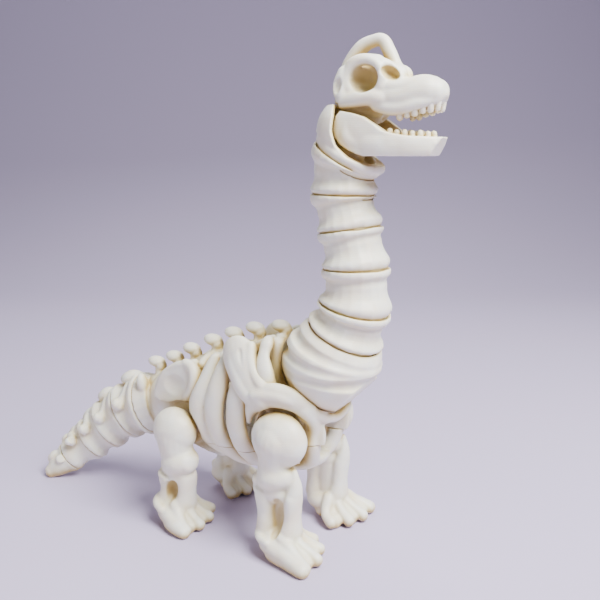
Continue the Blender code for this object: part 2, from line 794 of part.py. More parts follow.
def ribs():
    """The ribs of the left side, joined at the top by the bones that carry them and at the belly."""
    bm = bmesh.new()
    for path in RIBS:
        last = len(path) - 1
        stations = []
        for place, point in enumerate(path):
            from_middle = abs(2 * place / last - 1)
            stations.append((*point, RIB_RADIUS * (1 - 0.4 * from_middle**2)))
        add_bar(bm, stations, thin=RIB_FLATNESS)
    add_bar(bm, [(path[0][0], 7.0, path[0][2] - 0.5, 2.4) for path in RIBS])
    brace = [
        (33.2, 16.6, 61.0, 2.6),
        (27.6, 12.4, 46.0, 2.6),
        (27.0, 8.0, 36.0, 2.6),
        (26.0, 5.0, 30.0, 2.4),
    ]
    add_bar(bm, brace)
    add_bar(bm, [(26.0, 4.6, 29.8, 2.4), (11.0, 4.6, 30.2, 2.4)])
    return moulded("ribs_left", bm, 0.8, 3)


def shoulder():
    """Shoulder blade, the arm that runs forward from it and the arch over the leg's head."""
    x, z = SHOULDER
    bm = bmesh.new()
    blade = [
        (18.6, 15.6, 78.2, 7.4),
        (21.4, 17.6, 72.0, 6.4),
        (27.0, 18.5, 66.0, 5.8),
        (31.5, 19.5, 62.5, 5.4),
    ]
    arm = [
        (31.5, 19.5, 64.0, 5.2),
        (38.0, 19.5, 65.4, 4.9),
        (45.0, 18.6, 65.6, 5.2),
        (50.0, 15.6, 62.4, 5.0),
    ]
    tip = [(50.0, 15.6, 62.4, 4.8), (53.6, 11.0, 59.2, 4.2), (56.0, 8.6, 57.0, 2.6)]
    add_bar(bm, blade, thin=0.42)
    add_bar(bm, arm, thin=0.5)
    add_bar(bm, tip, thin=0.8)
    add_bar(bm, [(26.6, 19.0, 47.5, 1.9), (27.4, 19.3, 53.5, 3.0), (31.2, 19.6, 59.5, 3.8)], thin=0.8)
    add_bar(bm, [(50.0, 15.6, 62.0, 4.0), (52.4, 11.4, 55.0, 3.4), (51.4, 10.6, 46.5, 3.1)])
    add_bar(bm, [(57.0, 8.0, 57.0, 2.0), (57.0, 1.8, 55.2, 1.8)])
    add_ball(bm, (x, 9.6, z + 1.0), (11.5, 2.8, 11.0))
    for turn in (-35, 35):
        lean = math.radians(turn)
        start = (x + 9 * math.sin(lean), 10.8, z + 9 * math.cos(lean), 3.0)
        end = (x + 16 * math.sin(lean), 15.5, z + 16 * math.cos(lean), 3.0)
        add_bar(bm, [start, end])
    made = moulded("shoulder_left", bm, 0.75, 3)
    bm = bmesh.new()
    add_block(bm, (45, -30, 30), (70, 30, STERNUM_TOP + SEAM))
    return cut(made, bm)


def sternum():
    """The breast plate under the chest, with the two feet that meet the shoulders."""
    bm = bmesh.new()
    for side in (-1, 1):
        foot = [
            (51.2, 10.4, 47.0, 3.1),
            (50.4, 9.0, 42.0, 3.2),
            (46.0, 4.0, 35.5, 3.6),
            (36.0, 2.0, 31.6, 3.4),
        ]
        add_bar(bm, both_sides(foot, side))
    add_ball(bm, (43.6, 0, 34.0), (9.6, 7.8, 3.6), tilt=20)
    plate = moulded("sternum", bm, 0.75, 3)
    bm = bmesh.new()
    add_block(bm, (30, -30, STERNUM_TOP), (70, 30, 60))
    return cut(plate, bm)


def pelvis():
    """Hip bones, the sacrum behind them and the pubis that runs forward under the belly."""
    x, z = HIP
    bm = bmesh.new()
    add_ball(bm, (-24.0, 0, 48.0), (18.0, 10.5, 15.0), tilt=18)
    add_bar(bm, [(-36.0, 0, 45.0, 12.5), (-43.0, 0, 42.8, 13.8)], thin=0.8)
    for side in (-1, 1):
        add_ball(bm, (-15.0, side * 12.5, 60.5), (13.4, 3.6, 10.8), tilt=12)
        rim = [(-4.5, 13.0, 68.5, 2.6), (-4.0, 14.0, 62.0, 2.6), (-6.5, 13.5, 56.0, 2.6)]
        add_bar(bm, both_sides(rim, side))
        add_ball(bm, (x, side * 9.0, z + 1), (10.4, 4.2, 10.4))
        add_ball(bm, (-41.0, side * 7.6, 54.0), (3.8, 3.6, 4.2))
        pubis = [(x - 2, 6.0, 36.0, 3.8), (-3.0, 4.0, 30.8, 2.8), (3.0, 4.0, 30.2, 2.6)]
        add_bar(bm, both_sides(pubis, side))
    return moulded("pelvis", bm, 0.85, 3)


def open_for_tail(obj):
    """Cuts the cup for the first tail piece and everything behind its rim."""
    joint = tail_joint(*TAIL_JOINTS[0])
    cut_ball(obj, joint.centre, joint.radius + PRINT_GAP)
    bm = bmesh.new()
    add_slab(bm, joint.place, joint.normal)
    return cut(obj, bm)


def trunk():
    """The pieces of the trunk are one print, parted here by fine seams."""
    spine, hip, side, blade, plate = backbone(), pelvis(), ribs(), shoulder(), sternum()
    rooms = [grown(spine), grown(hip), grown(blade), grown(plate)]
    clear_of(hip, rooms[0])
    clear_of(blade, rooms[0])
    for room in rooms:
        combine(side, room, "DIFFERENCE")
    for obj in (spine, side, blade, plate):
        cut_ball(obj, BALL_CENTRE, BALL_RADIUS + PRINT_GAP)
    for obj in (spine, hip):
        open_for_tail(obj)
    for obj in (blade, side):
        cut_socket(obj, SHOULDER, 1, SHOULDER_ROOM)
    cut_socket(side, HIP, 1, HIP_ROOM + 1)
    for turn in (-1, 1):
        cut_socket(hip, HIP, turn, HIP_ROOM)
    for obj, triangles in ((spine, 540), (hip, 600), (side, 580), (blade, 440), (plate, 200)):
        thinned(biggest_piece(obj), triangles)
    cut_pin_hole(blade, SHOULDER, 1)
    for turn in (-1, 1):
        cut_pin_hole(hip, HIP, turn)
    others = [mirrored(side, "ribs_right"), mirrored(blade, "shoulder_right")]
    return [spine, hip, plate, side, blade] + others


def pivots():
    """Where each moving piece turns, by its name."""
    found = {"neck_1": BALL_CENTRE}
    for number, row in enumerate(NECK_JOINTS, 2):
        found[f"neck_{number}"] = neck_joint(*row).centre
    for number, row in enumerate(TAIL_JOINTS, 1):
        found[f"tail_{number}"] = tail_joint(*row).centre
    for name, (x, z) in (("skull", SKULL_PIVOT), ("jaw", JAW_PIVOT)):
        found[name] = (x, 0.0, z)
    for name, (x, z) in (("leg_front", SHOULDER), ("leg_hind", HIP)):
        found[name + "_left"] = (x, LEG_Y, z)
        found[name + "_right"] = (x, -LEG_Y, z)
    return found


def set_origin(obj, point):
    """Moves the object's origin to a point without moving its shape."""
    place = Vector(point) * MM
    obj.data.transform(Matrix.Translation(-place))
    obj.location = place


def main():
    clear_scene()
    toy = collection("brachiosaur skeleton toy")
    legs = [front_leg(), hind_leg()]
    made = neck() + tail() + trunk() + [skull(), jaw()] + legs
    made += [mirrored(leg, leg.name.replace("left", "right")) for leg in legs]
    plastic = bone_plastic()
    for obj in made:
        obj.data.materials.clear()
        obj.data.materials.append(plastic)
        bpy.context.scene.collection.objects.unlink(obj)
        toy.objects.link(obj)
    for name, point in pivots().items():
        set_origin(bpy.data.objects[name], point)


if __name__ == "__main__":
    main()
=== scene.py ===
"""Finished look of a print-in-place toy: a brachiosaur's jointed skeleton in bone-white plastic.

Sizes of the toy are millimetres, turned to metres where a shape is made. +X runs towards the head,
+Y to the animal's left and +Z up. Each operator models one sub-part as strokes and balls of plastic
that are melted into one skin, carved, and cleared for the joints.
"""

import json
import math

import bpy
from bpy.props import FloatProperty, FloatVectorProperty, IntProperty
from bpy.props import PointerProperty, StringProperty
from bpy.types import Operator, Panel, PropertyGroup
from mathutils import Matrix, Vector


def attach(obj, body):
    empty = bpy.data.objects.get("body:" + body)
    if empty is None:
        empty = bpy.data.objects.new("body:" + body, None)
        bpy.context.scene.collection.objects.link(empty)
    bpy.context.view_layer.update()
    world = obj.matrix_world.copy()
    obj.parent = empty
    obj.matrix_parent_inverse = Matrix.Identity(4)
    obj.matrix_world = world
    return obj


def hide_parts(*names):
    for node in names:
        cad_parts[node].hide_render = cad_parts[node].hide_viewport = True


bl_info = {
    "name": "Jointed skeleton toy",
    "version": (1, 0, 0),
    "blender": (4, 5, 0),
    "location": "View3D > Sidebar > Skeleton toy",
    "description": "Models a print-in-place brachiosaur skeleton piece by piece",
    "category": "Object",
}

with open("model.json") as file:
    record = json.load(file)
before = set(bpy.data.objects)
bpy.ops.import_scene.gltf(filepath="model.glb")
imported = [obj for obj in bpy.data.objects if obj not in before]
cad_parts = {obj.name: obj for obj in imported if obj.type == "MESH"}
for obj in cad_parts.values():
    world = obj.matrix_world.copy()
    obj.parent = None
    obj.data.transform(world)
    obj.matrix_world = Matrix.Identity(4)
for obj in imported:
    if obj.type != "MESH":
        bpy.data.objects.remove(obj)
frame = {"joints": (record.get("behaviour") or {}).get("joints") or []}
JOINT_CENTRES = {joint["child"]: Vector(joint["pos_m"]) * 1000 for joint in frame["joints"]}

MM = 0.001
UP = Vector((0, 0, 1))

# How the end of a stroke is rounded: how far on, and what is left, as shares of its radius.
ROUND_END = ((0.62, 0.74), (0.95, 0.15))

# Joints: half the slit between two rims, the room round a dome, how far past the rim the near
# piece's lip can sweep, and how much smaller than their rooms the lip's ball and the dome are.
RIM_GAP = 0.12
CUP_ROOM = 0.35
LIP_REACH = 4.0
LIP_SLACK = 0.08
DOME_SLACK = 0.05

# Outline of a neck spool and of a tail piece: share of the length, share of the rim.
NECK_SKIN = (
    (0.0, 0.985), (0.05, 1.04), (0.12, 1.085), (0.21, 1.055), (0.33, 0.965),
    (0.46, 0.92), (0.6, 0.93), (0.69, 0.925), (0.75, 0.95), (0.81, 1.035),
    (0.88, 1.085), (0.95, 1.09), (1.0, 1.08),
)
TAIL_SKIN = (
    (0.0, 1.01), (0.1, 1.07), (0.22, 1.05), (0.38, 0.96), (0.56, 0.9),
    (0.74, 0.92), (0.86, 1.01), (0.94, 1.07), (1.0, 1.08),
)

# The ball in the chest, which is the root of the neck, and its flat cut low in front.
BALL_CENTRE = JOINT_CENTRES["neck_1"]
BALL_RADIUS = 20.0
BALL_FACET = Vector((0.72, 0.0, -0.69)).normalized()
BALL_FACET_DEPTH = 15.9

# The ball's collar: rise from the rim, radius. Its grooves: depth below the rim, radius of the
# ring, lean (degrees back).
BALL_COLLAR = ((-5.0, 14.6), (-2.6, 15.5), (1.0, 15.5))
BALL_GROOVES = ((5.4, 19.9, 4), (11.4, 21.6, 12), (17.6, 21.3, 20))
GROOVE_WIDTH = 2.9

# Neck joints from the ball up: tilt of the rim (degrees forward), rim radius, dome radius.
NECK_RIMS = (
    (25, 14.7, 16.6), (13, 13.3, 15.0), (-2, 12.2, 13.8),
    (-8, 11.7, 13.2), (1, 11.6, 13.1), (30, 13.1, 14.8),
)

# The bowl that holds the skull. Its skirt widens past the neck's rim: rise, share of the rim.
# Its edge is seen from the side: x, z.
SKULL_PIVOT = JOINT_CENTRES["skull"]
SKULL_BALL = 6.6
BOWL_RADIUS = 12.9
BOWL_WALL = 1.7
BOWL_SKIRT = (
    (-1.0, 0.985), (0.0, 0.985), (0.9, 1.03), (2.4, 1.07),
    (4.4, 1.0), (7.0, 0.93), (9.5, 0.86),
)
BOWL_EDGE = (
    (44.0, 175.2), (58.9, 175.2), (60.0, 171.0), (60.0, 166.0),
    (61.5, 160.8), (65.4, 156.8), (71.0, 153.9), (80.0, 151.6),
)

# The jaw, seen from the side: x, z.
JAW_FLOOR = 157.1
JAW_SIDE = (
    (71.6, 157.1), (68.4, 157.8), (65.4, 159.0), (62.3, 161.0), (59.8, 163.8), (59.2, 166.6),
    (59.8, 170.4), (61.8, 172.8), (66.6, 171.8), (70.9, 170.6), (75.6, 167.5), (78.2, 165.6),
    (82.0, 164.6), (86.0, 163.9), (97.4, 163.6), (93.6, 157.1),
)

# Teeth: x, half width of the row, z where they leave the bone, back to front.
UPPER_TEETH = (
    (82.9, 6.1, 172.3), (85.4, 5.9, 172.8), (88.0, 5.5, 173.5),
    (90.7, 4.9, 174.2), (93.0, 4.0, 174.7), (94.9, 2.4, 175.0),
)
LOWER_TEETH = (
    (79.6, 6.8, 163.8), (82.0, 6.4, 163.5), (84.6, 5.8, 163.3),
    (87.2, 5.1, 163.1), (89.8, 4.2, 163.0), (92.1, 3.0, 162.9),
)

# Legs: the middle of a leg, the pivots, the face of the sockets and the pins in them.
LEG_Y = 20.0
SHOULDER = JOINT_CENTRES["leg_front_left"]
HIP = JOINT_CENTRES["leg_hind_left"]
SOCKET_FACE = 11.4
SHOULDER_ROOM = 13.2
HIP_ROOM = 11.6
HUB_RADIUS = 3.4
HUB_END = 8.6

# Tail joints from the trunk back: drop (degrees below level), turn (degrees to the right),
# half width, half height, dome radius.
TAIL_RIMS = (
    (20, 0, 11.5, 14.3, 17.0), (32, 4, 10.3, 12.8, 15.2), (40, 10, 9.2, 11.9, 14.0),
    (42, 18, 7.8, 10.3, 12.2), (42, 27, 5.8, 7.6, 9.2),
)
TAIL_TIP = Vector((-94.4, -17.2, 3.0))

# Tops of the spines on the back and on the tail, front to back: x, y, z.
BACK_SPINES = (
    (29.9, 0.0, 91.3), (17.0, 0.0, 88.9), (6.1, 0.0, 85.4), (-5.2, 0.0, 80.9),
    (-17.1, 0.0, 75.3), (-27.1, 0.0, 70.2), (-38.1, 0.0, 66.2),
)
TAIL_SPINES = (
    (-54.9, 0.0, 56.6), (-71.4, -1.0, 45.0), (-80.8, -3.0, 33.6),
    (-88.2, -6.0, 24.2), (-92.2, -9.9, 19.2), (-96.2, -15.0, 11.4),
)

# Knobs on the sides of the tail's pieces: share of the piece's length, of its half width and
# of its half height.
TAIL_KNOBS = (
    (0.68, 0.80, 0.30), (0.68, 0.80, 0.29), (0.52, 0.80, 0.38), (0.32, 0.84, 0.50),
)

# The left ribs from the shoulder back: x, y, z, radius. Their section is flattened.
RIBS = (
    (
        (30.8, 9.0, 85.0, 2.0), (31.6, 12.6, 84.2, 2.7), (31.6, 14.8, 80.8, 2.5),
        (32.2, 16.0, 77.0, 3.5), (33.4, 16.9, 72.0, 4.4), (34.0, 17.0, 66.0, 4.6),
        (33.6, 16.6, 61.0, 3.0),
    ),
    (
        (20.4, 6.0, 79.5, 2.8), (21.8, 12.5, 77.0, 3.6), (21.8, 17.0, 68.0, 4.3),
        (20.0, 18.0, 57.0, 4.6), (19.8, 16.6, 46.0, 4.4), (22.0, 11.4, 35.5, 3.8),
        (24.5, 5.0, 30.0, 2.8),
    ),
    (
        (10.4, 6.0, 76.5, 2.8), (12.0, 12.0, 74.5, 3.4), (11.0, 16.8, 66.0, 4.2),
        (8.8, 18.0, 56.0, 4.6), (9.0, 16.6, 46.0, 4.4), (12.6, 11.4, 35.5, 3.8),
        (17.5, 5.0, 29.5, 2.8),
    ),
    (
        (2.0, 6.0, 72.5, 2.8), (4.4, 11.5, 71.6, 3.4), (3.4, 16.0, 64.0, 4.0),
        (0.2, 17.6, 55.0, 4.4), (1.6, 16.4, 45.5, 4.3), (6.6, 11.4, 36.5, 3.7),
        (12.0, 5.0, 30.5, 2.8),
    ),
)
RIB_FLATNESS = 0.62

# The left shoulder: how flat each bar is, and its stations.
SHOULDER_BARS = (
    # The blade and its two ridges.
    (0.46, (
        (20.0, 15.2, 78.8, 7.8), (22.6, 17.2, 73.6, 7.2),
        (26.4, 18.4, 67.8, 6.4), (31.0, 19.4, 63.8, 5.8),
    )),
    (0.8, (
        (19.4, 15.4, 81.6, 3.6), (18.8, 16.2, 77.4, 4.2), (21.6, 17.8, 71.4, 4.2),
        (25.8, 19.0, 65.6, 4.0), (31.0, 19.8, 63.0, 3.6),
    )),
    (1.0, (
        (25.6, 15.0, 83.2, 2.2), (26.6, 16.6, 78.4, 2.4),
        (29.4, 18.0, 73.0, 2.4), (34.4, 19.0, 68.4, 2.8),
    )),
    # The arm that runs forward, its ridge and its tip.
    (0.54, (
        (31.0, 19.4, 64.4, 5.2), (36.0, 19.6, 65.8, 5.1), (41.0, 19.2, 66.3, 5.1),
        (46.0, 17.8, 65.2, 4.8), (50.5, 14.8, 61.8, 4.6),
    )),
    (1.0, (
        (31.0, 20.2, 65.0, 3.0), (38.0, 20.0, 66.2, 3.0),
        (45.0, 18.8, 65.6, 2.8), (51.0, 14.6, 61.8, 2.4),
    )),
    (0.8, ((50.0, 15.4, 61.6, 4.0), (53.6, 11.4, 59.8, 3.2), (57.0, 8.6, 62.2, 1.7))),
    (1.0, ((53.6, 11.0, 59.2, 3.4), (56.0, 8.6, 57.0, 2.6))),
    # The point that reaches down behind the leg's head, and the strut to the breast plate.
    (0.8, (
        (26.0, 17.6, 52.6, 1.2), (26.8, 18.0, 56.4, 2.2),
        (29.4, 18.8, 60.6, 3.6), (34.0, 19.4, 63.6, 4.6),
    )),
    (1.0, (
        (50.6, 14.8, 61.4, 3.8), (52.4, 11.6, 55.0, 3.0),
        (51.8, 10.8, 50.0, 2.7), (51.0, 10.6, 45.0, 3.3),
    )),
    # Half of the bridge low in front of the chest ball.
    (1.0, ((57.0, 8.0, 57.0, 2.0), (57.0, 1.8, 55.2, 1.8), (57.0, -0.4, 55.2, 1.8))),
)

# The groove along the shoulder blade, nearer to its front edge.
BLADE_GROOVE = (
    (22.6, 19.4, 82.0, 1.4), (24.4, 21.4, 77.4, 1.7),
    (27.8, 22.7, 72.6, 1.7), (31.6, 23.4, 68.8, 1.3),
)

# Outline of the hip blade, seen from the side: x, z.
HIP_BLADE = (
    (-18.4, 67.6), (-12.2, 70.4), (-7.0, 71.8), (-3.6, 69.2), (-1.8, 64.6),
    (-3.2, 59.8), (-7.0, 54.4), (-12.0, 53.2), (-18.8, 51.4), (-23.6, 51.2),
    (-27.2, 53.0), (-25.6, 57.4), (-23.4, 62.0),
)

# The stage, in metres: the paper's width, how far its middle is pulled forward, the wall's height
# and the curve's radius. Then the lamps (name, place, size, power) and where they point.
PAPER_SIZE = 4.0
PAPER_SHIFT = -0.8
WALL_HEIGHT = 2.5
CURVE_RADIUS = 0.7
LAMPS = (
    ("key_lamp", (0.42, -0.10, 0.62), 0.35, 17.0),
    ("fill_lamp", (-0.45, -0.75, 0.35), 0.8, 3.0),
    ("rim_lamp", (-0.30, 0.40, 0.60), 0.5, 3.0),
)
LAMP_AIM = Vector((0, 0, 0.09))


class ToySettings(PropertyGroup):
    """Sizes and colours of the printed pieces."""

    skin: FloatProperty(
        name="Skin",
        description="Size of the cells that the plastic is melted into",
        default=0.42 * MM, min=0.2 * MM, max=2 * MM, unit="LENGTH",
    )
    print_gap: FloatProperty(
        name="Print gap",
        description="Room between two faces that slide on each other",
        default=0.5 * MM, min=0.2 * MM, max=1 * MM, unit="LENGTH",
    )
    layer_height: FloatProperty(
        name="Layer height",
        description="Height of one printed layer",
        default=0.2 * MM, min=0.05 * MM, max=0.4 * MM, unit="LENGTH",
    )
    softening: IntProperty(
        name="Softening",
        description="How many times a melted skin is smoothed",
        default=3, min=0, max=20,
    )
    plastic: StringProperty(
        name="Plastic",
        description="Colour of the bone-white plastic, as sRGB hex",
        default="#ECECE0",
    )
    # Painted shade: the darker, warmer colour that hollows are painted towards.
    painted_hollow_shade: StringProperty(
        name="Painted hollow shade",
        description="Colour painted into hollows as their shade, as sRGB hex",
        default="#DCC891",
    )


class StageSettings(PropertyGroup):
    """The floor's colour and the camera."""

    floor: StringProperty(
        name="Floor",
        description="Colour of the floor, as sRGB hex",
        default="#BBB0CE",
    )
    lens: FloatProperty(
        name="Lens",
        description="Focal length of the camera, in millimetres",
        default=43.2, min=10, max=200,
    )
    camera_place: FloatVectorProperty(
        name="Camera place",
        description="Where the camera stands",
        default=(0.18287, -0.24321, 0.15748), subtype="TRANSLATION",
    )
    camera_turn: FloatVectorProperty(
        name="Camera turn",
        description="Where the camera looks, as XYZ angles",
        default=(math.radians(90 - 11.3864), 0.0, math.radians(30.5418)), subtype="EULER",
    )


def settings():
    """The toy's sizes and colours in this scene."""
    return bpy.context.scene.toy_settings


def print_gap():
    """Room between two faces that slide on each other, in millimetres."""
    return settings().print_gap / MM


def deselect():
    """Leaves edit mode and selects nothing."""
    if bpy.context.mode != "OBJECT":
        bpy.ops.object.mode_set(mode="OBJECT")
    bpy.ops.object.select_all(action="DESELECT")


def activate(obj):
    """Selects this object alone."""
    deselect()
    obj.select_set(True)
    bpy.context.view_layer.objects.active = obj
    return obj


def settle(obj):
    """Puts the object's place, turn and scale into its mesh."""
    activate(obj)
    bpy.ops.object.transform_apply(location=True, rotation=True, scale=True)
    return obj


def modify(obj, kind, **values):
    """Adds a modifier with these values and applies it."""
    modifier = obj.modifiers.new(kind.lower(), kind)
    for name, value in values.items():
        setattr(modifier, name, value)
    activate(obj)
    bpy.ops.object.modifier_apply(modifier=modifier.name)
    return obj


def finish_edit():
    """Turns all faces outwards and leaves edit mode."""
    bpy.ops.mesh.select_all(action="SELECT")
    bpy.ops.mesh.normals_make_consistent(inside=False)
    bpy.ops.object.mode_set(mode="OBJECT")


def ball(centre, radii, turn=(0, 0, 0)):
    """A ball or ellipsoid, turned by XYZ degrees."""
    deselect()
    radii = (radii,) * 3 if isinstance(radii, (int, float)) else radii
    bpy.ops.mesh.primitive_uv_sphere_add(
        segments=48,
        ring_count=32,
        radius=MM,
        location=Vector(centre) * MM,
        rotation=[math.radians(angle) for angle in turn],
        scale=radii,
    )
    return settle(bpy.context.object)


def block(low, high):
    """A box between two corners."""
    deselect()
    low, high = Vector(low) * MM, Vector(high) * MM
    bpy.ops.mesh.primitive_cube_add(size=1, location=(low + high) / 2, scale=high - low)
    return settle(bpy.context.object)


def slab(place, outward, size=60.0):
    """A block with one face through a place, which fills the side that outward points to."""
    deselect()
    turn = Vector(outward).to_track_quat("Z", "Y").to_euler()
    middle = Vector(place) + Vector(outward).normalized() * size / 2
    bpy.ops.mesh.primitive_cube_add(size=size * MM, location=middle * MM, rotation=turn)
    return settle(bpy.context.object)


def rod(centre, radius, length, axis=(0, 1, 0)):
    """A cylinder along an axis."""
    deselect()
    bpy.ops.mesh.primitive_cylinder_add(
        vertices=64,
        radius=radius * MM,
        depth=length * MM,
        location=Vector(centre) * MM,
        rotation=Vector(axis).to_track_quat("Z", "Y").to_euler(),
    )
    return settle(bpy.context.object)


def ring(centre, radius, thickness, axis):
    """A torus round an axis."""
    deselect()
    bpy.ops.mesh.primitive_torus_add(
        major_segments=72,
        minor_segments=16,
        major_radius=radius * MM,
        minor_radius=thickness * MM,
        location=Vector(centre) * MM,
        rotation=Vector(axis).to_track_quat("Z", "Y").to_euler(),
    )
    return settle(bpy.context.object)


def stroke(stations, thin=1.0, round_ends=True):
    """A smooth bar through stations of (x, y, z, radius), flattened across the body by thin."""
    points = [(Vector(station[:3]), station[3]) for station in stations]
    if round_ends:
        for where, before in ((0, 1), (-1, -2)):
            place, radius = points[where]
            out = (place - points[before][0]).normalized() * radius
            tips = [(place + out * reach, radius * left) for reach, left in ROUND_END]
            points = tips[::-1] + points if where == 0 else points + tips
    deselect()
    bpy.ops.curve.primitive_bezier_curve_add()
    obj = bpy.context.object
    curve = obj.data
    curve.splines.clear()
    curve.bevel_depth = MM
    curve.bevel_resolution = 8
    curve.use_fill_caps = True
    curve.resolution_u = 6
    obj.location = (0, 0, 0)
    spline = curve.splines.new("BEZIER")
    spline.bezier_points.add(len(points) - 1)
    spline.radius_interpolation = "CARDINAL"
    for knot, (place, radius) in zip(spline.bezier_points, points):
        knot.co = Vector((place.x, place.y / thin, place.z)) * MM
        knot.radius = radius
        knot.handle_left_type = knot.handle_right_type = "AUTO"
    activate(obj)
    bpy.ops.object.convert(target="MESH")
    bpy.ops.object.mode_set(mode="EDIT")
    bpy.ops.mesh.select_all(action="SELECT")
    bpy.ops.mesh.remove_doubles(threshold=0.0001 * MM)
    bpy.ops.mesh.normals_make_consistent(inside=False)
    bpy.ops.transform.resize(value=(1, thin, 1), center_override=(0, 0, 0))
    bpy.ops.object.mode_set(mode="OBJECT")
    return obj


def sweep(stations, side=1, thin=1.0):
    """A stroke on the animal's left (side 1) or right (side -1)."""
    return stroke([(x, side * y, z, radius) for x, y, z, radius in stations], thin)


def bars(table, side=1):
    """Sweeps from a table that gives how thin each of them is, and its stations."""
    return [sweep(stations, side, thin) for thin, stations in table]


def plate(outline, low_y=-30.0, high_y=30.0):
    """A plate with a flat outline of (x, z) points, from one y to another."""
    deselect()
    bpy.ops.mesh.primitive_circle_add(vertices=len(outline), fill_type="NGON")
    obj = settle(bpy.context.object)
    for vert, (x, z) in zip(obj.data.vertices, outline):
        vert.co = Vector((x, low_y, z)) * MM
    bpy.ops.object.mode_set(mode="EDIT")
    bpy.ops.mesh.select_all(action="SELECT")
    bpy.ops.mesh.extrude_region_move(
        TRANSFORM_OT_translate={"value": (0, (high_y - low_y) * MM, 0)}
    )
    finish_edit()
    return obj


def joined(shapes):
    """One object made of all the shapes."""
    deselect()
    for shape in shapes:
        shape.select_set(True)
    bpy.context.view_layer.objects.active = shapes[0]
    if len(shapes) > 1:
        bpy.ops.object.join()
    return bpy.context.view_layer.objects.active


def melted(shapes, fineness=1.0, softening=None):
    """Melts overlapping shapes into one skin and smooths it."""
    obj = joined(shapes)
    modify(obj, "REMESH", mode="VOXEL", voxel_size=settings().skin * fineness)
    passes = settings().softening if softening is None else softening
    if passes:
        modify(obj, "SMOOTH", factor=0.5, iterations=passes)
    return obj


def boolean(obj, other, operation):
    """Changes the object by the other one, which is used up."""
    modify(obj, "BOOLEAN", operation=operation, object=other, solver="MANIFOLD")
    bpy.data.objects.remove(other, do_unlink=True)
    return obj


def carved(obj, shapes, softening=None):
    """Takes the shapes out of the object and softens the edges that they leave."""
    for shape in shapes:
        boolean(obj, shape, "DIFFERENCE")
    return melted([obj], softening=softening)


def trimmed(obj, shapes):
    """Takes the shapes out and leaves their edges crisp."""
    for shape in shapes:
        boolean(obj, shape, "DIFFERENCE")
    return obj


def weathered(obj, height, size):
    """Moves the skin in and out by a soft unevenness of this height and size."""
    texture = bpy.data.textures.new("unevenness", "CLOUDS")
    texture.noise_scale = size * MM
    texture.noise_depth = 1
    modify(
        obj,
        "DISPLACE",
        texture=texture,
        texture_coords="GLOBAL",
        strength=height * MM,
        mid_level=0.5,
    )
    bpy.data.textures.remove(texture)
    return obj


def mirrored(obj):
    """The same shape on the other side of the middle plane, as a new object."""
    activate(obj)
    bpy.ops.object.duplicate()
    copy = bpy.context.object
    copy.scale.y = -1
    settle(copy)
    bpy.ops.object.mode_set(mode="EDIT")
    finish_edit()
    return copy


def placed(obj, node, body):
    """Names the finished piece and lets it stand for its node."""
    obj.name = node + "_bone"
    obj.data.name = obj.name
    obj.data.materials.clear()
    obj.data.materials.append(printed_pla())
    activate(obj)
    bpy.ops.object.shade_smooth()
    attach(obj, body)
    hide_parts(node)
    return obj


def placed_pair(left, node):
    """Places a left piece of the trunk, and its mirror image on the right."""
    placed(mirrored(left), node + "_right", "trunk")
    placed(left, node + "_left", "trunk")


class Joint:
    """A joint: the far piece's dome sits in the near piece's cup, both round one centre."""

    def __init__(self, centre, normal, half_width, half_height, dome_radius):
        self.centre = centre
        self.normal = normal.normalized()
        self.half_width = half_width
        self.half_height = half_height
        rim = max(half_width, half_height)
        self.depth = math.sqrt(dome_radius**2 - rim**2)
        self.place = centre - self.normal * self.depth

    def bulge(self, growth):
        """The ellipsoid through the rim, round the joint's turning axis, grown by this much."""
        wide = math.hypot(self.half_width, self.depth)
        tall = self.half_height * wide / self.half_width
        side = UP.cross(self.normal).normalized()
        upright = self.normal.cross(side).to_track_quat("Z", "Y").to_euler()
        turn = [math.degrees(angle) for angle in upright]
        return ball(self.centre, (wide + growth, wide + growth, tall + growth), turn)

    def station(self, rise, girth):
        """A station for a stroke, this far past the rim along the joint's normal."""
        return (*(self.place + self.normal * rise), girth)

    def cup(self):
        """The room that the dome turns in."""
        return self.bulge(CUP_ROOM)

    def beyond(self):
        """Everything past the rim of the near piece."""
        return slab(self.place - self.normal * RIM_GAP, self.normal)

    def before(self):
        """Everything short of the rim of the far piece."""
        return slab(self.place + self.normal * RIM_GAP, -self.normal)

    def lip_room(self):
        """What the near piece's lip sweeps through when the joint bends, outside the cup."""
        swept = slab(self.place + self.normal * LIP_REACH, -self.normal)
        return boolean(swept, self.bulge(CUP_ROOM - LIP_SLACK), "DIFFERENCE")


def neck_joint(number):
    """The neck's joints from the ball up, which nod."""
    tilt, rim, dome_radius = NECK_RIMS[number]
    lean = math.radians(tilt)
    normal = Vector((math.sin(lean), 0, math.cos(lean)))
    return Joint(JOINT_CENTRES[f"neck_{number + 2}"], normal, rim, rim, dome_radius)


def tail_joint(number):
    """The tail's joints from the trunk back, which sway."""
    drop, turn, half_width, half_height, dome_radius = TAIL_RIMS[number]
    down, aside = math.radians(drop), math.radians(turn)
    normal = Vector(
        (-math.cos(down) * math.cos(aside), -math.cos(down) * math.sin(aside), -math.sin(down))
    )
    centre = JOINT_CENTRES[f"tail_{number + 1}"]
    return Joint(centre, normal, half_width, half_height, dome_radius)


def along(start, end, share):
    """A point on the smooth line that leaves one joint and meets the next square to their rims."""
    reach = (end.place - start.place).length
    rise = 3 * share**2 - 2 * share**3
    leave = share**3 - 2 * share**2 + share
    meet = share**3 - share**2
    return (
        start.place.lerp(end.place, rise)
        + start.normal * reach * leave
        + end.normal * reach * meet
    )


def spool_body(start, end, skin):
    """The skin between two rims, running on past both of them."""
    thin = start.half_width / start.half_height
    stations = [start.station(-2.0, start.half_height * skin[0][1])]
    for share, scale in skin:
        girth = start.half_height * (1 - share) + end.half_height * share
        stations.append((*along(start, end, share), girth * scale))
    stations.append(end.station(2.0, end.half_height * skin[-1][1]))
    return stroke(stations, thin, round_ends=False)


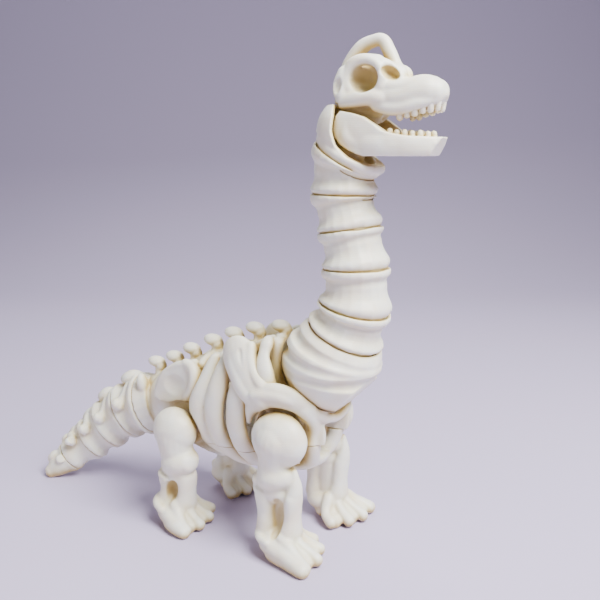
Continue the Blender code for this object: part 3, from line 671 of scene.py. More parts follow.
def dome(joint):
    """The part of the joint's bulge that reaches back into the piece before it."""
    thin = joint.half_width / joint.half_height
    # The core runs from deep in the near piece to just past the far piece's rim.
    girth = joint.half_height * 0.98
    stations = [joint.station(rise, girth) for rise in (-14.0, -6.0, 0.8)]
    core = stroke(stations, thin, round_ends=False)
    return boolean(core, joint.bulge(-DOME_SLACK), "INTERSECT")


def spool(start, end, skin, extras=()):
    """A piece with a dome at its start and a cup at its end."""
    body = trimmed(spool_body(start, end, skin), [start.before(), end.beyond()])
    made = weathered(melted([body, *extras]), height=0.5, size=7.0)
    made = trimmed(made, [end.cup(), start.lip_room()])
    return boolean(made, dome(start), "UNION")


def add_node(nodes, kind, links=(), **values):
    """Adds a node, sets its properties or its inputs, and links it."""
    node = nodes.new(kind)
    for name, value in values.items():
        if hasattr(node, name):
            setattr(node, name, value)
        else:
            node.inputs[name.replace("_", " ")].default_value = value
    for source, target in links:
        node.id_data.links.new(source, node.inputs[target])
    return node


def linear(hex_colour):
    """An sRGB hex colour as the linear RGBA that shaders take."""
    channels = [int(hex_colour[i : i + 2], 16) / 255 for i in (1, 3, 5)]
    return [c / 12.92 if c <= 0.04045 else ((c + 0.055) / 1.055) ** 2.4 for c in channels] + [1.0]


def printed_pla():
    """Bone-white PLA as it leaves the printer: satin, faintly see-through, with fine layer lines, and
    with painted shade in its hollows.
    """
    found = bpy.data.materials.get("printed_PLA_bone_white")
    if found:
        return found
    material = bpy.data.materials.new("printed_PLA_bone_white")
    material.use_nodes = True
    nodes, links = material.node_tree.nodes, material.node_tree.links
    shader = nodes["Principled BSDF"]
    place = add_node(nodes, "ShaderNodeTexCoord")

    # Filament is never quite even: broad patches are a little warmer and less glossy.
    patches = add_node(
        nodes, "ShaderNodeTexNoise", [(place.outputs["Object"], "Vector")],
        Scale=1 / (9 * MM), Detail=2.0, Roughness=0.5,
    )
    shine = add_node(nodes, "ShaderNodeMapRange", [(patches.outputs["Fac"], "Value")])
    shine.inputs["To Min"].default_value = 0.36
    shine.inputs["To Max"].default_value = 0.5
    links.new(shine.outputs["Result"], shader.inputs["Roughness"])
    links.new(plastic_colour(nodes, patches), shader.inputs["Base Color"])
    links.new(plastic_relief(nodes, place), shader.inputs["Normal"])
    shader.inputs["IOR"].default_value = 1.46
    shader.inputs["Subsurface Weight"].default_value = 0.3
    shader.inputs["Subsurface Radius"].default_value = (1.0, 0.85, 0.5)
    shader.inputs["Subsurface Scale"].default_value = 1.2 * MM
    return material


def plastic_colour(nodes, patches):
    """The plastic's colour: uneven from patch to patch, and painted darker and warmer in hollows as
    shade.
    """
    tint = add_node(nodes, "ShaderNodeValToRGB", [(patches.outputs["Fac"], "Fac")])
    stops(tint, ((0.35, "#EBE4D2"), (0.65, settings().plastic)))

    # Painted shade: hollows found by ambient occlusion are painted darker and warmer, for their shade
    # and the warm light through the plastic; the narrowest cracks are painted lighter.
    hollow = add_node(nodes, "ShaderNodeAmbientOcclusion", Distance=9 * MM)
    hollow.samples = 8
    # The ramp below holds the painted shade: it maps how enclosed a point is to its painted colour.
    depth = add_node(nodes, "ShaderNodeValToRGB", [(hollow.outputs["AO"], "Fac")])
    hollow_shade_hex = settings().painted_hollow_shade
    painted_shade_stops = ((0.08, "#FFF8E8"), (0.22, "#C9B072"), (0.5, hollow_shade_hex), (0.82, "#F6F3E4"), (1.0, "#FFFFFF"))
    stops(depth, painted_shade_stops)
    colour = add_node(nodes, "ShaderNodeMix", data_type="RGBA", blend_type="MULTIPLY")
    colour.inputs["Factor"].default_value = 1.0
    links = colour.id_data.links
    links.new(tint.outputs["Color"], colour.inputs["A"])
    links.new(depth.outputs["Color"], colour.inputs["B"])
    return colour.outputs["Result"]


def plastic_relief(nodes, place):
    """The plastic's fine relief: printed layers with a grain on them."""
    # The layers are too fine to show at this size, so three are drawn as one.
    drawn = 3 * settings().layer_height
    layers = add_node(
        nodes, "ShaderNodeTexWave", [(place.outputs["Object"], "Vector")],
        bands_direction="Z", Scale=math.pi / 10 / drawn, Distortion=1.2, Detail=1.0,
    )
    grain = add_node(
        nodes, "ShaderNodeTexNoise", [(place.outputs["Object"], "Vector")],
        Scale=1 / (0.8 * MM), Detail=2.0,
    )
    layer_bump = add_node(
        nodes, "ShaderNodeBump", [(layers.outputs["Fac"], "Height")],
        Strength=0.2, Distance=0.08 * MM,
    )
    grain_bump = add_node(
        nodes, "ShaderNodeBump",
        [(grain.outputs["Fac"], "Height"), (layer_bump.outputs["Normal"], "Normal")],
        Strength=0.3, Distance=0.08 * MM,
    )
    return grain_bump.outputs["Normal"]


def stops(ramp, colours):
    """Gives a colour ramp its stops, as pairs of position and sRGB hex."""
    elements = ramp.color_ramp.elements
    while len(elements) < len(colours):
        elements.new(0.5)
    for element, (position, _) in zip(elements, colours):
        element.position = position
    for element, (_, hex_colour) in zip(elements, colours):
        element.color = linear(hex_colour)


class TOY_OT_neck(Operator):
    """Models the ball in the chest and the five spools above it"""

    bl_idname = "toy.neck"
    bl_label = "Neck"

    def execute(self, context):
        joints = [neck_joint(number) for number in range(len(NECK_RIMS))]
        placed(chest_ball(joints[0]), "neck_1", "neck_1")
        for number, (start, end) in enumerate(zip(joints, joints[1:])):
            name = f"neck_{number + 2}"
            placed(spool(start, end, NECK_SKIN), name, name)
        return {"FINISHED"}


def chest_ball(joint):
    """The ball that fills the chest opening, ringed by wavy grooves and cut flat low in front."""
    body = ball(BALL_CENTRE, BALL_RADIUS - 0.2)
    collar = stroke([joint.station(*place) for place in BALL_COLLAR], round_ends=False)
    parts = [trimmed(body, [joint.beyond()]), trimmed(collar, [joint.beyond()])]
    made = melted(parts, softening=4)
    grooves = []
    for depth, radius, lean in BALL_GROOVES:
        axis = (joint.normal - Vector((math.sin(math.radians(lean)), 0, 0))).normalized()
        middle = joint.place - joint.normal * depth + Vector((0.9, 0, 0.4))
        grooves.append(ring(middle, radius, GROOVE_WIDTH, axis))
    made = weathered(carved(made, grooves, softening=8), height=0.9, size=9.0)
    facet = slab(BALL_CENTRE + BALL_FACET * BALL_FACET_DEPTH, BALL_FACET)
    return trimmed(made, [joint.beyond(), facet, joint.cup()])


class TOY_OT_bowl(Operator):
    """Models the bowl at the top of the neck, which holds the skull"""

    bl_idname = "toy.bowl"
    bl_label = "Bowl"

    def execute(self, context):
        joint = neck_joint(len(NECK_RIMS) - 1)
        stations = [joint.station(rise, joint.half_height * scale) for rise, scale in BOWL_SKIRT]
        body = [stroke(stations, round_ends=False), ball(SKULL_PIVOT, BOWL_RADIUS + BOWL_WALL)]
        made = weathered(melted(body), height=0.4, size=7.0)
        outside = BOWL_EDGE + ((100.0, 150.4), (100.0, 200.0), (44.0, 200.0))
        made = trimmed(made, [ball(SKULL_PIVOT, BOWL_RADIUS), plate(outside)])
        # A seat on the bowl's floor, which the skull's ball turns in.
        floor = SKULL_PIVOT + Vector((-0.35, 0, -0.94)) * (BOWL_RADIUS + 1)
        seat = stroke([(*floor, 6.0), (*(SKULL_PIVOT - Vector((1, 0, 6))), 5.0)])
        made = melted([made, seat], fineness=0.85, softening=2)
        socket = ball(SKULL_PIVOT, SKULL_BALL + print_gap())
        made = trimmed(made, [joint.before(), joint.lip_room(), socket])
        placed(boolean(made, dome(joint), "UNION"), "neck_7", "neck_7")
        return {"FINISHED"}


class TOY_OT_skull(Operator):
    """Models the upper skull with its nose arch and teeth"""

    bl_idname = "toy.skull"
    bl_label = "Skull"

    def execute(self, context):
        made = melted(braincase() + snout(1) + snout(-1), fineness=0.85, softening=4)
        made = carved(made, skull_openings(), softening=3)
        # Behind and below, the skull keeps clear of the bowl's wall.
        room = block((38, -20, 150), (SKULL_PIVOT.x - 2.5, 20, 175.7))
        boolean(room, ball(SKULL_PIVOT, BOWL_RADIUS - print_gap()), "DIFFERENCE")
        trimmed(made, [room])
        made = melted([made, ball(SKULL_PIVOT, SKULL_BALL)], fineness=0.8, softening=1)
        boolean(made, joined(teeth(UPPER_TEETH, -1)), "UNION")
        placed(made, "skull", "skull")
        return {"FINISHED"}


def braincase():
    """The skull round the brain, its roof and its base, and the arch over the nose."""
    arch = (
        (60.0, 187.6, 3.2), (62.4, 192.0, 2.9), (65.6, 195.4, 2.6),
        (69.3, 196.8, 2.3), (72.8, 197.0, 2.3), (75.4, 193.4, 2.4),
        (78.2, 187.9, 2.4), (81.0, 183.2, 2.7), (82.6, 180.4, 3.0),
    )
    return [
        ball((64.4, 0, 181.2), (9.0, 8.4, 8.4)),
        ball((62.8, 0, 179.4), (7.4, 8.6, 6.0)),
        stroke([(61.6, 0, 187.4, 3.2), (67.0, 0, 188.4, 3.0), (76.0, 0, 187.2, 3.0)]),
        stroke([(x, 0, z, radius) for x, z, radius in arch]),
        stroke([(61.5, 0, 176.0, 6.6), (62.5, 0, 170.0, 5.4)]),
        stroke([(64.0, 0, 173.4, 4.8), (70.0, 0, 172.4, 4.4), (76.0, 0, 174.4, 3.6)]),
    ]


def snout(side):
    """One side of the muzzle: its bulb, the lip over the teeth, the cheek and the eye's rim."""
    strokes = [
        [
            (75.0, 3.4, 177.6, 5.4), (83.0, 2.8, 176.9, 5.9),
            (89.6, 1.9, 178.8, 5.7), (92.7, 1.2, 178.3, 5.2),
        ],
        [
            (74.0, 6.4, 174.6, 2.4), (82.0, 6.4, 173.2, 2.5),
            (89.0, 5.4, 174.9, 2.4), (94.3, 2.8, 176.2, 2.2),
        ],
        [
            (61.2, 7.4, 175.8, 2.5), (65.6, 7.9, 176.6, 2.9),
            (71.0, 7.4, 177.4, 3.2), (76.4, 6.4, 176.6, 3.2),
        ],
        [(61.6, 6.6, 186.0, 2.6), (60.4, 7.0, 181.0, 3.0), (61.4, 7.2, 177.4, 2.8)],
        [(62.6, 5.6, 187.0, 2.4), (66.6, 6.8, 189.6, 2.2), (74.0, 5.4, 189.4, 2.2)],
        [(74.0, 5.6, 189.2, 1.8), (78.2, 4.4, 187.6, 1.6), (81.6, 3.8, 183.4, 1.9)],
        [(76.0, 7.0, 180.4, 2.2), (75.4, 6.8, 185.0, 2.0), (75.8, 6.0, 188.6, 1.8)],
        [(77.0, 6.0, 180.4, 2.6), (84.0, 5.0, 180.2, 2.8), (90.0, 3.6, 181.0, 2.8)],
    ]
    made = [sweep(stations, side) for stations in strokes]
    eye = []
    for step in range(13):
        angle = 2 * math.pi * step / 12
        eye.append((69.6 + 6.9 * math.cos(angle), 7.4, 183.6 + 6.2 * math.sin(angle), 1.7))
    backing = ball((79.0, side * 2.2, 184.6), (4.8, 2.9, 4.0))
    return made + [sweep(eye, side), backing]


def skull_openings():
    """The eyes, the windows before them, the dents behind them and the palate."""
    cutters = [ball((84.0, 0, 170.4), (10.5, 4.8, 3.8))]
    for side in (-1, 1):
        cutters.append(ball((69.8, side * 9.6, 183.6), (5.6, 8.1, 5.0)))
        cutters.append(ball((79.2, side * 7.0, 185.0), (3.4, 4.2, 2.1), turn=(0, 32, 0)))
        cutters.append(ball((60.0, side * 10.2, 181.4), (1.8, 2.0, 3.2), turn=(0, 14, 0)))
    return cutters


def teeth(rows, up):
    """Short, blunt pegs on both sides that point up or down out of the bone."""
    made = []
    for number, (x, y, z) in enumerate(rows):
        for side in (-1, 1):
            # The upper teeth are larger, and every other tooth is a little smaller.
            size = (1.12 if up < 0 else 1.0) - 0.08 * ((number + (side > 0)) % 2)
            root = (x, side * y, z - up * 1.4, 1.3 * size)
            tip = (x - 0.15, side * (y - 0.2), z + up * 1.9 * size, 1.12 * size)
            made.append(stroke([root, tip]))
    return made


class TOY_OT_jaw(Operator):
    """Models the lower jaw and its teeth"""

    bl_idname = "toy.jaw"
    bl_label = "Jaw"

    def execute(self, context):
        made = melted(jaw_branch(1) + jaw_branch(-1), fineness=0.85, softening=2)
        boolean(made, plate(JAW_SIDE), "INTERSECT")
        made = weathered(melted([made], fineness=0.85, softening=5), height=0.3, size=6.0)
        trimmed(made, [block((40, -30, 140), (110, 30, JAW_FLOOR))])
        boolean(made, joined(teeth(LOWER_TEETH, 1)), "UNION")
        placed(made, "jaw", "jaw")
        return {"FINISHED"}


def jaw_branch(side):
    """One side: the hinge plate with a swelling on it, and the bar that bends round to the chin."""
    hinge = (
        (54.0, 9.0, 165.0, 10.0), (64.0, 9.3, 165.0, 10.0),
        (70.0, 9.2, 164.0, 10.0), (78.0, 8.0, 162.0, 8.0),
    )
    swell = ((64.0, 10.2, 167.8, 2.2), (64.6, 10.4, 163.6, 2.6), (69.0, 10.0, 161.0, 2.4))
    bar = (
        (72.0, 8.4, 161.4, 6.2), (81.0, 7.2, 160.8, 6.0), (86.5, 5.4, 160.8, 6.0),
        (90.4, 2.9, 160.9, 6.0), (91.9, 0.0, 161.0, 6.0),
    )
    return bars(((0.2, hinge), (0.5, swell), (0.5, bar)), side)


def chest_room():
    """The room that the ball in the chest turns in."""
    return ball(BALL_CENTRE, BALL_RADIUS + print_gap())


class TOY_OT_backbone(Operator):
    """Models the row of vertebrae with their spines"""

    bl_idname = "toy.backbone"
    bl_label = "Backbone"

    def execute(self, context):
        shapes = [stroke([(x, 0, z - 13.0, 4.6) for x, _, z in BACK_SPINES])]
        for x, y, z in BACK_SPINES:
            shapes += vertebra((x + 3.0, 0, z - 12.5), (x, y, z), Vector((1, 0, 0)), 1.0)
        for x, _, z in BACK_SPINES[:-1]:
            wings = [
                (x + 2.0, 0, z - 10.2, 3.2),
                (x + 1.8, 5.0, z - 10.0, 2.8),
                (x + 1.8, 9.4, z - 11.4, 2.3),
            ]
            shapes += [sweep(wings, side) for side in (-1, 1)]
        made = weathered(melted(shapes + neck_socket(), softening=3), height=0.4, size=6.0)
        joint = tail_joint(0)
        made = trimmed(made, [chest_room(), joint.cup(), slab(joint.place, joint.normal)])
        placed(made, "backbone", "trunk")
        return {"FINISHED"}


def neck_socket():
    """The shell behind the neck's ball, as arcs that melt into one."""
    arcs = []
    for y in (-8.4, -4.2, 0.0, 4.2, 8.4):
        reach = math.sqrt((BALL_RADIUS + 2.6) ** 2 - y**2)
        stations = []
        for degrees in (162, 179, 196, 213):
            angle = math.radians(degrees)
            x = BALL_CENTRE[0] + reach * math.cos(angle)
            stations.append((x, y, BALL_CENTRE[2] + reach * math.sin(angle), 3.0))
        arcs.append(stroke(stations))
    return arcs


def vertebra(root, top, ahead, size):
    """A spine that leans back to a long cap, which overhangs behind and slopes off in front."""
    root, top = Vector(root), Vector(top)
    rise = (top - root).normalized()
    neck = top - rise * 5.0 * size + ahead * 1.2 * size
    stem = [(*root, 4.4 * size), (*root.lerp(neck, 0.55), 3.0 * size), (*neck, 2.4 * size)]
    stem.append((*(top - rise * 2.2 * size + ahead * 0.5 * size), 2.6 * size))
    # The cap lies along the row, but stays level where the row has turned aside.
    tilt = math.degrees(math.atan2(-ahead.z, ahead.x)) if abs(ahead.y) < 0.5 else 0.0
    cap = ball(top - rise * 2.4 * size, (4.5 * size, 3.4 * size, 2.5 * size), turn=(0, tilt + 5, 0))
    brow = ball(top - rise * 4.2 * size + ahead * 2.4 * size, (2.3 * size, 2.6 * size, 2.4 * size))
    return [stroke(stem, thin=0.9), cap, brow]


class TOY_OT_ribs(Operator):
    """Models the ribs of both sides"""

    bl_idname = "toy.ribs"
    bl_label = "Ribs"

    def execute(self, context):
        shapes = [stroke(path, thin=RIB_FLATNESS) for path in RIBS]
        for x, y, z, _ in [path[1] for path in RIBS[1:]]:
            shapes.append(ball((x, y - 1.0, z + 0.5), (3.3, 3.2, 3.4)))
        shapes.append(stroke([(path[0][0], 6.6, path[0][2] - 0.5, 2.4) for path in RIBS]))
        brace = [
            (33.2, 16.6, 61.0, 2.6), (27.6, 12.4, 46.0, 2.6),
            (27.0, 8.0, 36.0, 2.6), (26.0, 5.0, 30.0, 2.4),
        ]
        shapes.append(stroke(brace))
        keel = [(26.0, 3.6, 29.8, 2.4), (18.0, 3.4, 29.4, 2.4), (11.0, 3.6, 30.2, 2.4)]
        shapes.append(stroke(keel))
        left = weathered(melted(shapes, softening=4), height=0.35, size=6.0)
        rooms = [
            block((-10, 0, 37.9), (40, 30, 38.1)),
            chest_room(),
            rod((SHOULDER.x, SOCKET_FACE + 10, SHOULDER.z), SHOULDER_ROOM, 20),
            rod((HIP.x, SOCKET_FACE + 10, HIP.z), HIP_ROOM + 1, 20),
        ]
        placed_pair(trimmed(left, rooms), "ribs")
        return {"FINISHED"}


class TOY_OT_shoulders(Operator):
    """Models the shoulder blades and the arches over the front legs"""

    bl_idname = "toy.shoulders"
    bl_label = "Shoulders"

    def execute(self, context):
        left = carved(melted(shoulder_shapes(), softening=3), [stroke(BLADE_GROOVE)], softening=2)
        x, _, z = SHOULDER
        rooms = [
            chest_room(),
            ball((x, LEG_Y, z), (13.0, 8.6, 12.2)),
            rod((x, SOCKET_FACE + 14.6, z), SHOULDER_ROOM, 20),
            rod((x, HUB_END, z), HUB_RADIUS + print_gap(), 10),
            block((45, -30, 30), (70, 30, 46.2)),
        ]
        placed_pair(trimmed(left, rooms), "shoulder")
        return {"FINISHED"}


def shoulder_shapes():
    """Blade, the arm that runs forward from it, its tip, and the arch over the leg's head."""
    x, _, z = SHOULDER
    shapes = bars(SHOULDER_BARS)
    shapes.append(ball((x - 1.0, 10.0, z + 1.0), (16.4, 3.0, 14.6)))
    for turn in (-35, 35):
        lean = math.radians(turn)
        start = (x + 9 * math.sin(lean), 10.8, z + 9 * math.cos(lean), 3.0)
        end = (x + 16 * math.sin(lean), 15.5, z + 16 * math.cos(lean), 3.0)
        shapes.append(stroke([start, end]))
    return shapes


class TOY_OT_sternum(Operator):
    """Models the breast plate under the chest"""

    bl_idname = "toy.sternum"
    bl_label = "Sternum"

    def execute(self, context):
        foot = [
            (51.2, 10.4, 47.0, 3.4), (50.4, 9.0, 42.0, 3.2),
            (46.0, 4.0, 35.5, 3.6), (36.0, 2.0, 31.6, 3.4),
        ]
        shapes = [sweep(foot, side) for side in (-1, 1)]
        shapes.append(ball((43.6, 0, 34.0), (9.6, 7.8, 3.6), turn=(0, -20, 0)))
        made = melted(shapes, softening=3)
        trimmed(made, [chest_room(), block((30, -30, 45.9), (70, 30, 60))])
        placed(made, "sternum", "trunk")
        return {"FINISHED"}


class TOY_OT_pelvis(Operator):
    """Models the hip bones, the sacrum and the pubis"""

    bl_idname = "toy.pelvis"
    bl_label = "Pelvis"

    def execute(self, context):
        made = melted(pelvis_shapes(), softening=6)
        joint = tail_joint(0)
        hollows = [hip_dish(side) for side in (-1, 1)] + [joint.beyond()]
        made = weathered(carved(made, hollows, softening=5), height=0.4, size=7.0)
        rooms = [joint.beyond(), joint.cup()]
        for side in (-1, 1):
            rooms.append(rod((HIP.x, side * (SOCKET_FACE + 10), HIP.z), HIP_ROOM, 20))
            rooms.append(rod((HIP.x, side * HUB_END, HIP.z), HUB_RADIUS + print_gap(), 10))
        placed(trimmed(made, rooms), "pelvis", "trunk")
        return {"FINISHED"}


def hip_dish(side):
    """The shallow dish in the side of a hip blade."""
    return ball((-14.6, side * 19.4, 60.6), (9.6, 5.6, 7.4), turn=(0, -14, 0))


def pelvis_shapes():
    """The sacrum with the tail's socket, the hip blades with their raised edges, and the pubis."""
    x, _, z = HIP
    rear = [(-36.0, 0, 45.0, 12.5), (-40.0, 0, 43.8, 13.6), (-44.5, 0, 42.3, 15.4)]
    shapes = [
        ball((-24.0, 0, 48.0), (18.0, 10.5, 15.0), turn=(0, -18, 0)),
        stroke(rear, thin=0.815, round_ends=False),
    ]
    for side in (-1, 1):
        low, high = sorted((side * 8.0, side * 15.0))
        shapes.append(plate(HIP_BLADE, low, high))
        shapes.append(ball((x, side * 9.0, z + 1), (10.4, 4.2, 10.4)))
        shapes.append(ball((-40.4, side * 7.2, 55.0), (2.4, 2.8, 4.6), turn=(0, -12, 0)))
        rim = [
            (-9.4, 13.4, 70.8, 1.9), (-5.0, 14.0, 68.8, 2.5), (-3.4, 14.8, 64.4, 2.8),
            (-5.0, 14.8, 59.4, 2.6), (-8.6, 14.0, 55.8, 2.2),
        ]
        crest = [
            (-9.4, 13.4, 70.2, 1.8), (-16.0, 13.6, 68.0, 1.6),
            (-23.0, 13.2, 62.0, 1.6), (-26.0, 12.6, 55.6, 1.9),
        ]
        pubis = [(x - 2, 6.0, 36.0, 3.8), (-3.0, 4.0, 30.8, 2.8), (3.0, 4.0, 30.2, 2.6)]
        shapes += [sweep(stations, side) for stations in (rim, crest, pubis)]
    return shapes


class TOY_OT_tail(Operator):
    """Models the five pieces of the tail"""

    bl_idname = "toy.tail"
    bl_label = "Tail"

    def execute(self, context):
        joints = [tail_joint(number) for number in range(len(TAIL_RIMS))]
        for number, (start, end) in enumerate(zip(joints, joints[1:])):
            extras = tail_bones(start, end.place, TAIL_SPINES[number], TAIL_KNOBS[number])
            if number == 3:
                # The fourth piece carries a second, smaller spine near its end.
                root = start.place.lerp(end.place, 0.6) + UP * 2
                extras += vertebra(root, TAIL_SPINES[4], -start.normal, 0.72)
            name = f"tail_{number + 1}"
            placed(spool(start, end, TAIL_SKIN, extras), name, name)
        placed(tail_end(joints[-1]), "tail_5", "tail_5")
        return {"FINISHED"}


def tail_bones(start, end_place, top, knob_place):
    """A spine and a knob on each side, with a low ridge that runs up from the knob to the spine."""
    # The bones shrink more slowly than the tail does.
    size = 0.35 + 0.65 * start.half_height / TAIL_RIMS[0][3]
    middle = start.place.lerp(end_place, 0.42)
    side = UP.cross(start.normal).normalized()
    up = start.normal.cross(side)
    ahead = -start.normal
    shapes = vertebra(middle + up * 2, top, ahead, size * 1.4)
    share, outward, upward = knob_place
    for hand in (-1, 1):
        out = side * hand * start.half_width
        flange = middle + out * 0.3 + up * start.half_height * 0.72
        knob = start.place.lerp(end_place, share) + out * outward + up * start.half_height * upward
        tip = knob + side * hand * 1.5 - ahead * 0.6 + up * 0.8
        shapes.append(stroke([(*flange, 2.8 * size), (*knob, 3.3 * size), (*tip, 2.6 * size)]))
    return shapes


def tail_end(joint):
    """The last piece, which narrows to a blunt tip on the floor."""
    thin = joint.half_width / joint.half_height
    stations = [
        joint.station(-2.0, joint.half_height),
        joint.station(0.0, joint.half_height * 1.02),
    ]
    for share, scale in ((0.15, 1.02), (0.34, 0.87), (0.6, 0.74), (0.85, 0.6), (1.0, 0.46)):
        stations.append((*joint.place.lerp(TAIL_TIP, share), joint.half_height * scale))
    shapes = [trimmed(stroke(stations, thin), [joint.before()])]
    shapes += vertebra(joint.place.lerp(TAIL_TIP, 0.5), TAIL_SPINES[5], -joint.normal, 1.0)
    side = UP.cross(joint.normal).normalized()
    for hand in (-1, 1):
        knob = joint.place.lerp(TAIL_TIP, 0.35) + side * hand * joint.half_width * 0.76 + UP * 3.0
        shapes.append(ball(knob, (2.6, 2.4, 2.4)))
    made = weathered(melted(shapes, fineness=0.9, softening=2), height=0.3, size=5.0)
    made = trimmed(made, [joint.before(), joint.lip_room(), under_floor()])
    return boolean(made, dome(joint), "UNION")


def under_floor():
    """What lies below the floor, less a hair."""
    return block((-150, -60, -20), (150, 60, 0.02))


class TOY_OT_legs(Operator):
    """Models the front and the hind legs"""

    bl_idname = "toy.legs"
    bl_label = "Legs"

    def execute(self, context):
        legs = (("leg_front", front_leg(), SHOULDER), ("leg_hind", hind_leg(), HIP))
        for name, (shapes, hollows), pivot in legs:
            left = melted(shapes, softening=5)
            left = weathered(carved(left, hollows, softening=4), height=0.5, size=6.0)
            left = trimmed(left, [under_floor()])
            pin = rod((pivot.x, (HUB_END + LEG_Y) / 2, pivot.z), HUB_RADIUS, LEG_Y - HUB_END)
            boolean(left, pin, "UNION")
            placed(mirrored(left), name + "_right", name + "_right")
            placed(left, name + "_left", name + "_left")
        return {"FINISHED"}


def limb(pivot, stations, thin=1.0):
    """A stroke whose stations count x and y from a leg's pivot, and z from the floor."""
    return stroke([(pivot.x + x, pivot.y + y, z, radius) for x, y, z, radius in stations], thin)


def lump(pivot, place, radii, lean=0):
    """A ball whose place counts as a limb's stations do, leaning forward by this many degrees."""
    x, y, z = place
    return ball((pivot.x + x, pivot.y + y, z), radii, turn=(0, lean, 0))


def front_leg():
    """The shapes from the leg's head to its foot, and the hollows between its shin bones."""
    z = SHOULDER.z
    shapes = [
        lump(SHOULDER, (0.0, 0.0, z), (12.0, 7.6, 11.0)),
        limb(SHOULDER, [(-0.6, 0.4, z, 9.4), (-1.7, 0.4, z - 9, 7.0), (-1.6, 0.2, 34.0, 7.6)], 0.88),
        lump(SHOULDER, (-1.0, 0.4, 33.6), (8.8, 7.0, 5.8), lean=-14),
        lump(SHOULDER, (-8.6, 0.8, 31.6), (2.6, 4.4, 3.0)),
        limb(SHOULDER, [(-10.4, 0.6, 28.6, 1.4), (-8.0, 3.6, 27.8, 1.7), (-5.0, 4.4, 26.6, 1.4)]),
        lump(SHOULDER, (-1.4, 0.0, 27.6), (7.6, 5.6, 5.0)),
        limb(SHOULDER, [(-5.6, 0.0, 27.0, 5.0), (-5.2, 0.0, 18.0, 4.4), (-4.8, 0.0, 9.0, 5.0)], 1.18),
        limb(SHOULDER, [(7.2, 0.6, 37.6, 1.2), (7.6, 0.6, 33.0, 2.3), (6.8, 0.4, 27.0, 3.4)], 1.2),
        limb(SHOULDER, [(6.8, 0.4, 27.0, 3.4), (6.0, 0.0, 18.0, 3.4), (5.0, 0.0, 10.0, 4.4)], 1.35),
        limb(SHOULDER, [(0.6, -1.7, 27.0, 4.6), (0.6, -1.7, 9.0, 4.6)], 0.6),
        lump(SHOULDER, (-0.5, 0.0, 7.5), (9.0, 8.2, 5.2)),
        lump(SHOULDER, (1.0, 0.5, 3.5), (5.8, 8.4, 4.2)),
        limb(SHOULDER, [(-8.6, -1.0, 9.4, 2.0), (-6.4, 5.0, 9.0, 2.0), (-1.0, 8.0, 8.4, 1.6)]),
        limb(SHOULDER, [(-2.5, 4.6, 6.4, 3.8), (5.0, 6.8, 5.4, 3.6), (13.7, 9.0, 3.3, 3.0)]),
        limb(SHOULDER, [(0.5, 4.8, 3.6, 4.0), (7.5, 6.6, 3.7, 4.2), (16.3, 9.7, 2.6, 3.0)]),
    ]
    tips = ((51.0, 7.8), (56.8, 13.2), (59.8, 20.6), (59.0, 28.6))
    hollow = lump(SHOULDER, (1.4, 6.4, 18.4), (3.2, 6.2, 8.6), lean=4)
    return shapes + toes(SHOULDER.x + 3.5, tips), [hollow]


def hind_leg():
    """The shapes from the leg's head to its foot, and the hollows between its shin bones."""
    z = HIP.z
    shapes = [
        lump(HIP, (0.0, 0.0, z), (10.4, 7.5, 9.9)),
        limb(HIP, [(0.0, 0.4, z - 1, 8.6), (0.8, 0.4, z - 8, 7.8), (1.8, 0.0, 30.0, 7.4)], 0.84),
        lump(HIP, (2.8, 0.7, 28.8), (9.0, 7.2, 6.2), lean=-20),
        lump(HIP, (8.4, 1.1, 29.2), (3.0, 5.0, 3.8)),
        limb(HIP, [(-6.0, 0.5, 23.4, 1.9), (-4.0, 4.6, 22.8, 1.9), (-1.0, 5.6, 22.0, 1.5)]),
        lump(HIP, (1.2, 0.0, 22.6), (7.6, 5.8, 5.0), lean=-10),
        limb(HIP, [(-2.8, 0.0, 22.0, 4.8), (-3.4, 0.0, 15.0, 4.0), (-4.4, 0.0, 9.4, 4.8)], 1.25),
        limb(HIP, [(5.8, 0.0, 23.0, 4.0), (5.6, 0.0, 15.5, 3.6), (4.2, 0.0, 9.0, 4.6)], 1.3),
        limb(HIP, [(1.0, -1.7, 23.0, 4.6), (0.0, -1.7, 9.0, 4.6)], 0.6),
        lump(HIP, (-1.0, 0.0, 7.0), (9.4, 8.0, 5.2)),
        lump(HIP, (1.5, 0.5, 3.5), (5.8, 8.4, 4.2)),
        limb(HIP, [(-8.6, -1.0, 10.2, 2.3), (-6.8, 5.0, 9.8, 2.2), (-2.0, 8.0, 8.4, 1.8)]),
        limb(HIP, [(-2.5, 4.6, 6.2, 3.8), (2.4, 7.4, 5.4, 3.4), (-1.4 - HIP.x, 9.0, 3.3, 3.0)]),
        limb(HIP, [(1.0, 5.2, 3.6, 4.0), (5.0, 7.8, 3.7, 4.0), (0.6 - HIP.x, 9.9, 2.6, 3.0)]),
    ]
    tips = ((-1.6, 8.0), (2.4, 14.6), (3.4, 22.0), (1.6, 29.2))
    hollows = [
        lump(HIP, (1.2, 6.2, 17.0), (3.0, 5.8, 5.4), lean=22),
        lump(HIP, (0.2, 7.4, 14.0), (2.2, 4.6, 3.0)),
    ]
    return shapes + toes(HIP.x + 2.5, tips), hollows


def toes(knuckle_x, tips):
    """Toes that spread from the foot as ridges, with lower webs between them."""
    made = []
    roots = [LEG_Y - 5.0 + 3.0 * number for number in range(len(tips))]
    for root_y, (tip_x, tip_y) in zip(roots, tips):
        root = (knuckle_x, root_y, 10.4, 2.8)
        middle = (tip_x - 4.4, 0.72 * tip_y + 0.28 * root_y, 5.0, 2.2)
        made.append(stroke([root, middle, (tip_x - 0.6, tip_y, 2.9, 2.5)]))
    for number in range(len(tips) - 1):
        root_y = (roots[number] + roots[number + 1]) / 2
        tip_x = (tips[number][0] + tips[number + 1][0]) / 2 - 2.8
        tip_y = (tips[number][1] + tips[number + 1][1]) / 2
        root = (knuckle_x - 1, root_y, 8.2, 3.8)
        middle = (tip_x - 3.4, 0.6 * tip_y + 0.4 * root_y, 3.7, 3.0)
        made.append(stroke([root, middle, (tip_x, tip_y, 2.1, 2.6)]))
    return made


